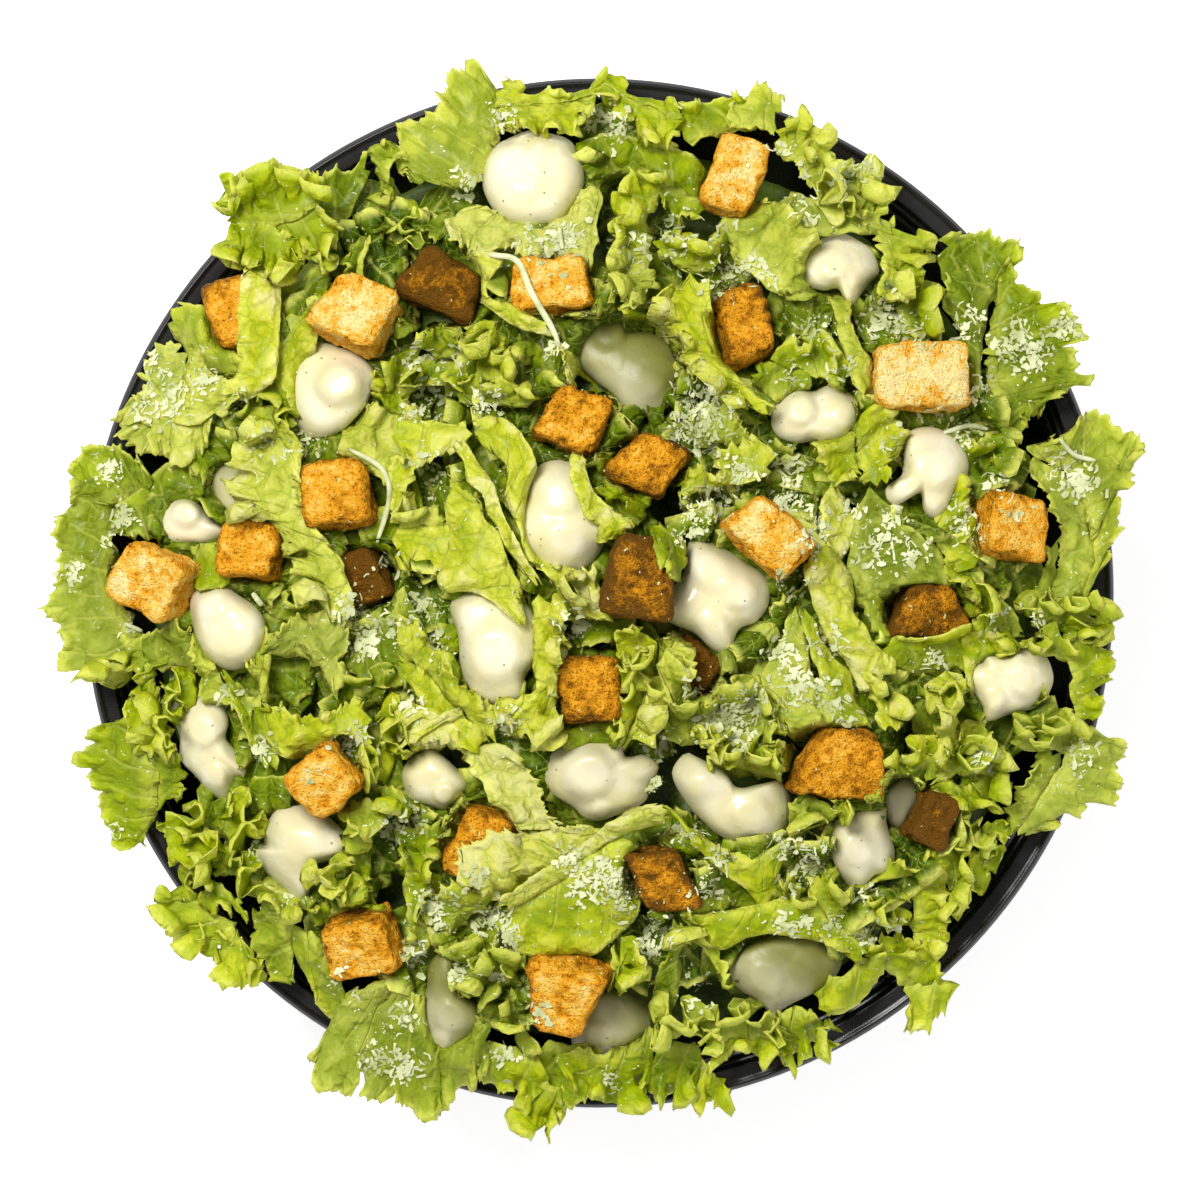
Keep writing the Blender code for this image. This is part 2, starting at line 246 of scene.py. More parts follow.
def outset(line, distance):
    """A line moved to its right by a distance, square to its mean direction at each point."""
    way = np.gradient(line, axis=0)
    way /= np.linalg.norm(way, axis=1)[:, None]
    return line + distance * np.column_stack((way[:, 1], -way[:, 0]))


def turned(profile, segments):
    """Points and faces of a closed outline of radii and heights, turned once round Z."""
    angles = np.arange(segments) * 2 * np.pi / segments
    radius, height = profile[:, :1], profile[:, 1:]
    points = np.stack((radius * np.cos(angles), radius * np.sin(angles), height + 0 * angles), axis=2)
    return points.reshape(-1, 3), grid_faces(len(profile), segments, wrap_columns=True)


skin = bowl_skin()
underside = outset(skin, WALL)
underside[0, 0] = 0.0
underside[:, 1] = np.maximum(underside[:, 1], 0.0)
profile = np.vstack((skin, underside[::-1]))
profile[profile[:, 0] < 1e-6, 0] = 0.0

plastic = Finish("black_plastic")
where = plastic.place()
flow = plastic.noise(where, 9 * MM, 3)
scuff = plastic.noise(where, 0.5 * MM, 2)
black_plastic = plastic.finish(
    Base_Color=plastic.blend(flow.rise(0.35, 0.7), (0.0055, 0.0052, 0.005), (0.008, 0.0077, 0.0075)),
    Roughness=0.2 + 0.1 * flow + 0.05 * scuff,
    Specular_IOR_Level=0.34,
    Normal=plastic.bump(flow + 0.06 * scuff, 0.00006),
)
bowl = add_piece("bowl_shell", *turned(profile, BOWL_SEGMENTS), black_plastic, weld=True)
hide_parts("bowl")

# ---------------------------------------------------------------------------------------------
# Lettuce. Green leaf lettuce and romaine, torn and cut into pieces with frilled margins, and
# heaped loose in the bowl. Each piece is one thin closed sheet that lies on those below it.

HEAP_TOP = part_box("lettuce")[1].z
HEAP_EDGE_RISE = 4.0 * MM
OVER_LEDGE = 0.7 * MM
CONTACT = 0.4 * MM
CURVE_STEPS = 240
LATTICE = 32
PIECES = {}


def heap_level(x, y):
    """Height of the heap at a place: a low dome that ends just above the rim, from the frame's
    sizes."""
    share = np.minimum(np.hypot(x, y) / RIM_RADIUS, 1.0)
    edge = RIM_HEIGHT + HEAP_EDGE_RISE
    return edge + (HEAP_TOP - edge) * (1 - share**2) ** 0.9


def places(text):
    """The numbers of a list such as "x y, x y", in rows."""
    return np.array([[float(value) for value in place.split()] for place in text.split(",")])


def smooth_path(points, count):
    """A curve through the points that leaves each along the line between its neighbours,
    sampled at even steps of its length."""
    points = np.asarray(points, float)
    padded = np.vstack((2 * points[0] - points[1], points, 2 * points[-1] - points[-2]))
    spot = np.linspace(0, len(points) - 1, CURVE_STEPS)
    index = np.minimum(spot.astype(int), len(points) - 2)
    t = (spot - index)[:, None]
    p0, p1, p2, p3 = (padded[index + shift] for shift in range(4))
    curve = 0.5 * (
        2 * p1 + (p2 - p0) * t + (2 * p0 - 5 * p1 + 4 * p2 - p3) * t**2
        + (3 * p1 - p0 - 3 * p2 + p3) * t**3
    )
    length = np.concatenate(([0], np.cumsum(np.linalg.norm(np.diff(curve, axis=0), axis=1))))
    steps = np.linspace(0, length[-1], count)
    return np.column_stack([np.interp(steps, length, curve[:, axis]) for axis in range(curve.shape[1])])


def eased(t):
    """0 below 0 and 1 above 1, with a smooth start and end."""
    t = np.clip(t, 0, 1)
    return t * t * (3 - 2 * t)


def wander(generator, count, knots):
    """A smooth series with this many spans, eased between random values in -1..1."""
    values = generator.uniform(-1, 1, knots + 2)
    spot = np.linspace(0, knots, count)
    index = np.minimum(spot.astype(int), knots)
    t = eased(spot - index)
    return values[index] * (1 - t) + values[index + 1] * t


def lattice_noise(points, size, seed):
    """Smooth noise in -1..1: random values on a cubic lattice, eased between its corners."""
    table = np.random.default_rng(seed).uniform(-1, 1, (LATTICE, LATTICE, LATTICE))
    spot = np.asarray(points) / size
    cell = np.floor(spot).astype(int)
    t = eased(spot - cell)
    total = 0
    for corner in np.ndindex(2, 2, 2):
        weight = np.prod([t[..., k] if corner[k] else 1 - t[..., k] for k in range(3)], axis=0)
        index = [(cell[..., k] + corner[k]) % LATTICE for k in range(3)]
        total = total + weight * table[index[0], index[1], index[2]]
    return total


def unit(vectors):
    """Each vector at length 1."""
    return vectors / np.maximum(np.linalg.norm(vectors, axis=-1, keepdims=True), 1e-9)


# How each kind of margin is made, in millimetres: height and length of its main ruffles and
# of the frill on them, how far it turns up, depth and length of its teeth, depth of its lobes.
# Then the step between its points, how far the crests lean along the margin, and the share of the
# leaf that stays flat.
MARGINS = {
    "frilled": (3.4, 7.4, 0.8, 2.8, 2.8, 1.7, 2.2, 1.4, 0.36, 0.50, 0.46),
    "curly": (4.0, 6.2, 0.9, 2.6, 3.6, 1.6, 2.0, 1.2, 0.36, 0.54, 0.36),
    "waved": (1.9, 10.5, 0.6, 3.6, 1.5, 1.5, 2.4, 1.5, 0.42, 0.34, 0.48),
    "torn": (1.1, 10.0, 0.4, 3.0, 0.8, 2.0, 2.8, 1.5, 0.42, 0.20, 0.45),
    "broad": (1.6, 8.0, 0.35, 3.4, 1.0, 1.3, 2.2, 1.6, 0.40, 0.26, 0.74),
    "plain": (0.7, 17.0, 0.2, 6.0, 0.6, 0.3, 4.0, 0.5, 0.80, 0.10, 0.25),
}
ROW_STEP = 1.3 * MM
ROW_LIMITS = (7, 16)
COLUMN_LIMITS = (24, 260)
LEAF_THICKNESS = 0.30 * MM
RIB_THICKNESS = 0.5 * MM
UNDULATION = 1.4 * MM
UNDULATION_LENGTH = 9 * MM
TORN_END = 1.5 * MM
CUT_EDGE = 0.9 * MM


def ragged_ends(run, t, width, generator):
    """How far each point moves along the leaf so that its two torn ends are uneven and their
    corners round: a random line for each end and a cubic at the corners."""
    side = 2 * run / run[-1] - 1
    near = eased((np.abs(side) - 0.45) / 0.55)
    corner = min(0.34 * width, 0.16 * run[-1], 5 * MM)
    torn = min(TORN_END, 0.08 * run[-1])
    lines = [torn * wander(generator, len(t), 6)[:, None] for _ in range(2)]
    reach = np.where(side > 0, *lines) + 0.4 * corner
    return near * np.sign(side) * (reach - corner * (t**3 + 0.7 * (1 - t) ** 3))


def leaf_sheet(base, margin, belly, kind, generator, columns, rows):
    """Grid of points of one piece of leaf, and how far each is from the rib to the margin.

    A point is base + (margin - base) * t. The sheet bulges by a parabola in t, rolls gently and
    turns up near the margin. There it ruffles: a wave along the sheet's own normal, whose crests lean
    along the margin until they overhang, with a shorter frill on it. The margin runs out into
    pointed lobes and teeth, with round hollows between.
    """
    shape = np.array(MARGINS[kind])
    height, length, frill, frill_length, upturn, tooth, tooth_length, lobe = shape[:8] * MM
    lean, flat = shape[9:]
    start, end = smooth_path(base, columns), smooth_path(margin, columns)
    t = (1 - (1 - np.linspace(0, 1, rows)) ** 1.35)[:, None]
    points = start + (end - start) * t[..., None]
    width = np.linalg.norm(end - start, axis=1).mean()
    run = np.concatenate(([0], np.cumsum(np.linalg.norm(np.diff(end, axis=0), axis=1))))
    knots = max(4, int(run[-1] / length * 1.5))
    grown = eased((t - flat) / (1 - flat))
    turned_up = upturn * grown**2 * (0.7 + 0.7 * wander(generator, columns, knots))
    spread = np.stack(np.broadcast_arrays(run, t * width, base[0, 0]), axis=-1)
    points[..., 2] += belly * MM * 4 * t * (1 - t) + turned_up
    points[..., 2] += UNDULATION * lattice_noise(spread, UNDULATION_LENGTH, 5)
    along = unit(np.gradient(points, axis=1))
    across = unit(np.gradient(points, axis=0))
    normal = unit(np.cross(along, across))
    normal = normal * np.where(normal[..., 2:].mean() < 0, -1.0, 1.0)
    points = points + along * ragged_ends(run, t, width, generator)[..., None]
    pace = 1 + 0.35 * wander(generator, columns, knots)
    phase = 2 * np.pi * np.concatenate(([0], np.cumsum(np.diff(run) * pace[1:]))) / length
    phase = phase + generator.uniform(0, 2 * np.pi) + 1.1 * wander(generator, columns, knots) * t
    strength = 0.95 + 0.5 * wander(generator, columns, knots)
    rise = height * grown**1.2 * strength
    fine = phase * length / frill_length + 1.9 * wander(generator, columns, 2 * knots)
    fine_rise = frill * eased((t - 0.5) / 0.5) * (1 + 0.6 * wander(generator, columns, 2 * knots))
    points = points + normal * (rise * np.sin(phase) + fine_rise * np.sin(fine))[..., None]
    slip = lean * (rise * np.sin(2 * phase) + 0.8 * fine_rise * np.sin(2 * fine))
    points = points - along * slip[..., None]
    teeth = np.pi * run / tooth_length + 1.2 * wander(generator, columns, 2 * knots)
    tips = (1 - np.abs(np.sin(teeth)) ** 0.6) * (0.8 + 0.55 * wander(generator, columns, 3 * knots))
    small = 1 - np.abs(np.sin(2.3 * teeth + 0.9)) ** 0.7
    lobes = lobe * (0.5 - np.abs(np.sin(phase[-1] / 2)) ** 0.7)
    out = tooth * (tips + 0.35 * small - 0.35) * eased((t - 0.72) / 0.28)
    out = out + lobes * eased((t - 0.4) / 0.6)
    cut = CUT_EDGE * wander(generator, columns, 2 * knots) * (1 - t) ** 2
    points = points + across * (out + cut)[..., None]
    return points, np.broadcast_to(t, points.shape[:2]), run


def above_bowl(points):
    """Keep leaves off the bowl: above the line of its wall, and clear of the ledge. Past the rim
    they may hang a little lower."""
    radius = np.hypot(points[..., 0], points[..., 1])
    skin_height = np.maximum.accumulate(skin[:, 1])
    ground = np.interp(radius, skin[:, 0], skin_height) + OVER_LEDGE
    ground = np.where(radius > RIM_RADIUS + 1.0 * MM, RIM_HEIGHT - SKIRT, ground)
    lift = ground - points[..., 2]
    points[..., 2] += CONTACT * np.logaddexp(0, lift / CONTACT)
    return points


COLLAR_HEIGHT = 2.6 * MM
FLAP_GAP = 0.8 * MM
PRESSED_GAP = 0.3 * MM
TOPPINGS = {
    name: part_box(name) for name in sorted(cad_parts) if name.startswith(("crouton", "dressing"))
}


def beside_toppings(points, over):
    """Press the leaves under each topping, raise them in a collar round it, and lay the named
    ones over it."""
    for name, (low, high) in TOPPINGS.items():
        centre = (low + high) / 2
        half = (high - low) / 2
        aside = np.abs(points[..., 0] - centre.x) / half.x
        ahead = np.abs(points[..., 1] - centre.y) / half.y
        share = (aside**2.6 + ahead**2.6) ** (1 / 2.6)
        deep = high.z - low.z
        if name in over:
            roundness = 40 if "crouton" in name else 4
            roof = high.z + FLAP_GAP - 0.5 * deep * np.clip(share, 0, 1) ** roundness
            roof = roof - 14 * MM * np.maximum(share - 1, 0) - 60 * MM * (share > 1.6)
            points[..., 2] = np.maximum(points[..., 2], roof)
        else:
            collar = COLLAR_HEIGHT * np.exp(-(((share - 1.12) / 0.24) ** 2))
            floor = low.z - PRESSED_GAP + 1.1 * deep * np.clip(share, 0, 1.05) ** 8
            floor = floor + 30 * MM * np.maximum(share - 1, 0) + 80 * MM * (share > 1.5)
            points[..., 2] = np.minimum(points[..., 2] + collar, floor)
    return points


# Where the leaves are the paler, duller inner ones, in millimetres: x, y and how far round it.
PALE_PLACES = (
    (-88, 38, 22), (-101, 0, 24), (-45, -92, 26), (-15, -40, 20), (-14, 68, 16), (46, 70, 22),
    (92, 20, 20), (100, -38, 22), (28, -14, 24), (-58, -12, 16), (55, 8, 12), (-30, -70, 14),
)


def over_heap(path, lift):
    """Places (x, y) in millimetres as points this many millimetres above the heap's level."""
    x, y = path.T * MM
    return np.column_stack((x, y, heap_level(x, y) + lift * MM))


def add_leaf(group, base, margin, lifts, belly, kind, tone, seed, over=(), fine=1.0):
    """Make one piece of leaf and keep it with its group. Base and margin are places in
    millimetres; lifts are their heights above the heap's level; fine scales the point count."""
    generator = np.random.default_rng(seed)
    start, end = over_heap(base, lifts[0]), over_heap(margin, lifts[1])
    span = np.linalg.norm(np.diff(smooth_path(end, 60), axis=0), axis=1).sum()
    width = np.linalg.norm(end.mean(axis=0) - start.mean(axis=0))
    step = MARGINS[kind][8] * MM
    columns = int(np.clip(span / step * fine, *COLUMN_LIMITS))
    rows = int(np.clip(width / ROW_STEP * fine, *ROW_LIMITS))
    points, t, run = leaf_sheet(start, end, belly, kind, generator, columns, rows)
    points = above_bowl(beside_toppings(points, over))
    normal = unit(np.cross(np.gradient(points, axis=1), np.gradient(points, axis=0)))
    ribbed = np.clip(1 - t * 2.2, 0, 1) ** 1.5
    half = 0.5 * (LEAF_THICKNESS + (RIB_THICKNESS - LEAF_THICKNESS) * ribbed)
    shell = np.stack((points + normal * half[..., None], points - normal * half[..., None]))
    uv = np.stack(np.broadcast_arrays(run + generator.uniform(0, 0.3), t * width), axis=-1)
    middle = points[..., :2].mean(axis=(0, 1))
    # Leaves near the middle of the bowl are made paler and those near the rim darker: partly the heart
    # leaves' own paler colour, partly painted light that falls off towards the rim.
    tone = tone + 0.05 - 0.13 * (np.hypot(*middle) / RIM_RADIUS) ** 3
    tones = np.broadcast_to(tone + 0.10 * wander(generator, columns, 5), t.shape)
    away = [np.hypot(*(middle - (x * MM, y * MM))) / (reach * MM) for x, y, reach in PALE_PLACES]
    pallor = max(0.8 - 0.8 * eased(min(away)), 0.5 * generator.uniform(0, 1) ** 3)
    PIECES.setdefault(group, []).append((shell, t, uv, tones, np.full(t.shape, pallor)))


def sheet_faces(rows, columns):
    """Faces of a closed sheet: an upper grid, a lower grid turned over, and the edge between."""
    upper = grid_faces(rows, columns)
    index = np.arange(rows * columns).reshape(rows, columns)
    loop = np.concatenate((index[0, :-1], index[:-1, -1], index[-1, :0:-1], index[:0:-1, 0]))
    following = np.roll(loop, -1)
    shift = rows * columns
    edge = np.stack((following, loop, loop + shift, following + shift), axis=1)
    return np.vstack((upper, upper[:, ::-1] + shift, edge))


def join_leaves(group, material):
    """One piece of a group's leaves, with their UV map and the values at their points."""
    points, faces, uvs, values, count = [], [], [], [], 0
    for shell, t, uv, tones, pallor in PIECES[group]:
        points.append(shell.reshape(-1, 3))
        faces.append(sheet_faces(*t.shape) + count)
        uvs.append(np.tile(uv.reshape(-1, 2), (2, 1)))
        values.append(np.tile([t.ravel(), tones.ravel(), pallor.ravel()], 2))
        count += 2 * t.size
    faces = np.vstack(faces)
    grown, tones, pallor = np.hstack(values)
    piece = add_piece(group, np.vstack(points), faces, material, growth=grown, tone=tones, pallor=pallor)
    layer = piece.data.uv_layers.new(name="leaf")
    layer.data.foreach_set("uv", np.vstack(uvs)[faces.ravel()].astype(np.float32).ravel())
    return piece


leaf = Finish("lettuce_leaf")
spot = leaf.node("ShaderNodeUVMap", {"uv_map": "leaf"})
where = leaf.place()
growth, tone, pallor = (leaf.attribute(name) for name in ("growth", "tone", "pallor"))
along_leaf = leaf.node("ShaderNodeSeparateXYZ", None, {0: spot})
across_leaf = leaf.node("ShaderNodeSeparateXYZ", None, {0: spot}, output=1)
sway = leaf.noise(spot, 11 * MM, 2)
blotch = leaf.noise(where, 14 * MM, 3)
grain = leaf.noise(where, 1.3 * MM, 3, 0.6)
sag = leaf.noise(where, 4.5 * MM, 2)
wavy = {"Vector": where, "Scale": 1 / (3.4 * MM), "Detail": 2.0}
stray = leaf.node("ShaderNodeTexNoise", None, wavy, output=1)
moved = {0: stray, 1: (2.6 * MM,) * 3, 2: where}
bent = leaf.node("ShaderNodeVectorMath", {"operation": "MULTIPLY_ADD"}, moved)
cells, fields = (
    leaf.node("ShaderNodeTexVoronoi", {"feature": "DISTANCE_TO_EDGE"}, {"Vector": bent, "Scale": 1 / size})
    for size in (2.0 * MM, 5.5 * MM)
)
branch = (along_leaf / (7.5 * MM) + across_leaf / (16 * MM) + 1.1 * sway).fraction()
vein = (abs(branch - 0.5)).rise(0.13, 0.0) * growth.rise(1.0, 0.55)
# Colour index of the leaf: each piece's tone, which holds painted shade for pieces that lie in shadow, with
# random blotches and grain; it rises towards the margin and in the middle of each cell, partly painted light.
shade = tone + 0.42 * (blotch - 0.5) + 0.18 * (grain - 0.5) + 0.16 * growth.rise(0.55, 1.0)
shade = shade + 0.16 * fields.rise(0.02, 0.3) - 0.14
green = leaf.node("ShaderNodeValToRGB", {"stops": (
    (0.0, (0.045, 0.082, 0.0)), (0.25, (0.155, 0.24, 0.0005)), (0.5, (0.39, 0.49, 0.003)),
    (0.70, (0.67, 0.715, 0.020)), (0.85, (0.86, 0.85, 0.11)), (0.96, (0.95, 0.90, 0.34)),
)}, {0: shade})
inner = leaf.blend(shade.rise(0.1, 0.9), (0.22, 0.28, 0.008), (0.79, 0.79, 0.31))
dull = leaf.blend(pallor * 0.62, green, inner)
pale = leaf.blend(growth.rise(0.42, 0.0) * 0.5 * tone.rise(0.1, 0.5), dull, (0.78, 0.79, 0.14))
veined = leaf.blend(vein * 0.38, pale, (0.74, 0.77, 0.14))
# Painted highlight: the outermost part of each leaf is blended towards a pale yellow-green, standing in for
# light through its thin margin.
painted_rim_highlight = leaf.blend(growth.rise(0.90, 0.99) * 0.75, veined, (0.88, 0.885, 0.17))
line = fields.rise(0.045, 0.0) * growth.rise(1.0, 0.8)
web_colour = leaf.blend(shade.rise(0.3, 0.6), (0.42, 0.52, 0.06), (0.20, 0.32, 0.012))
webbed = leaf.blend((line * 0.5).most(cells.rise(0.1, 0.0) * 0.14), painted_rim_highlight, web_colour)
relief = 0.4 * cells.rise(0.0, 0.35) + 1.5 * fields.rise(0.0, 0.3) - 0.7 * vein + 0.5 * grain + 2.2 * sag
leaf.finish(
    Base_Color=webbed,
    Roughness=0.36 + 0.26 * blotch,
    Specular_IOR_Level=0.13,
    Coat_Weight=0.09,
    Coat_Roughness=0.16,
    Normal=leaf.bump(relief, 0.00035),
)
light_through = leaf.node("ShaderNodeBsdfTranslucent", None, {"Color": (0.70, 0.76, 0.02)})
thinness = (0.41 - 0.2 * growth.rise(0.3, 0.0)) * tone.rise(-0.1, 0.4)
reflecting = Socket(leaf, leaf.shader.outputs[0])
thin = leaf.node("ShaderNodeMixShader", None, {0: thinness, 1: reflecting, 2: light_through})
leaf.put(leaf.surface, thin)

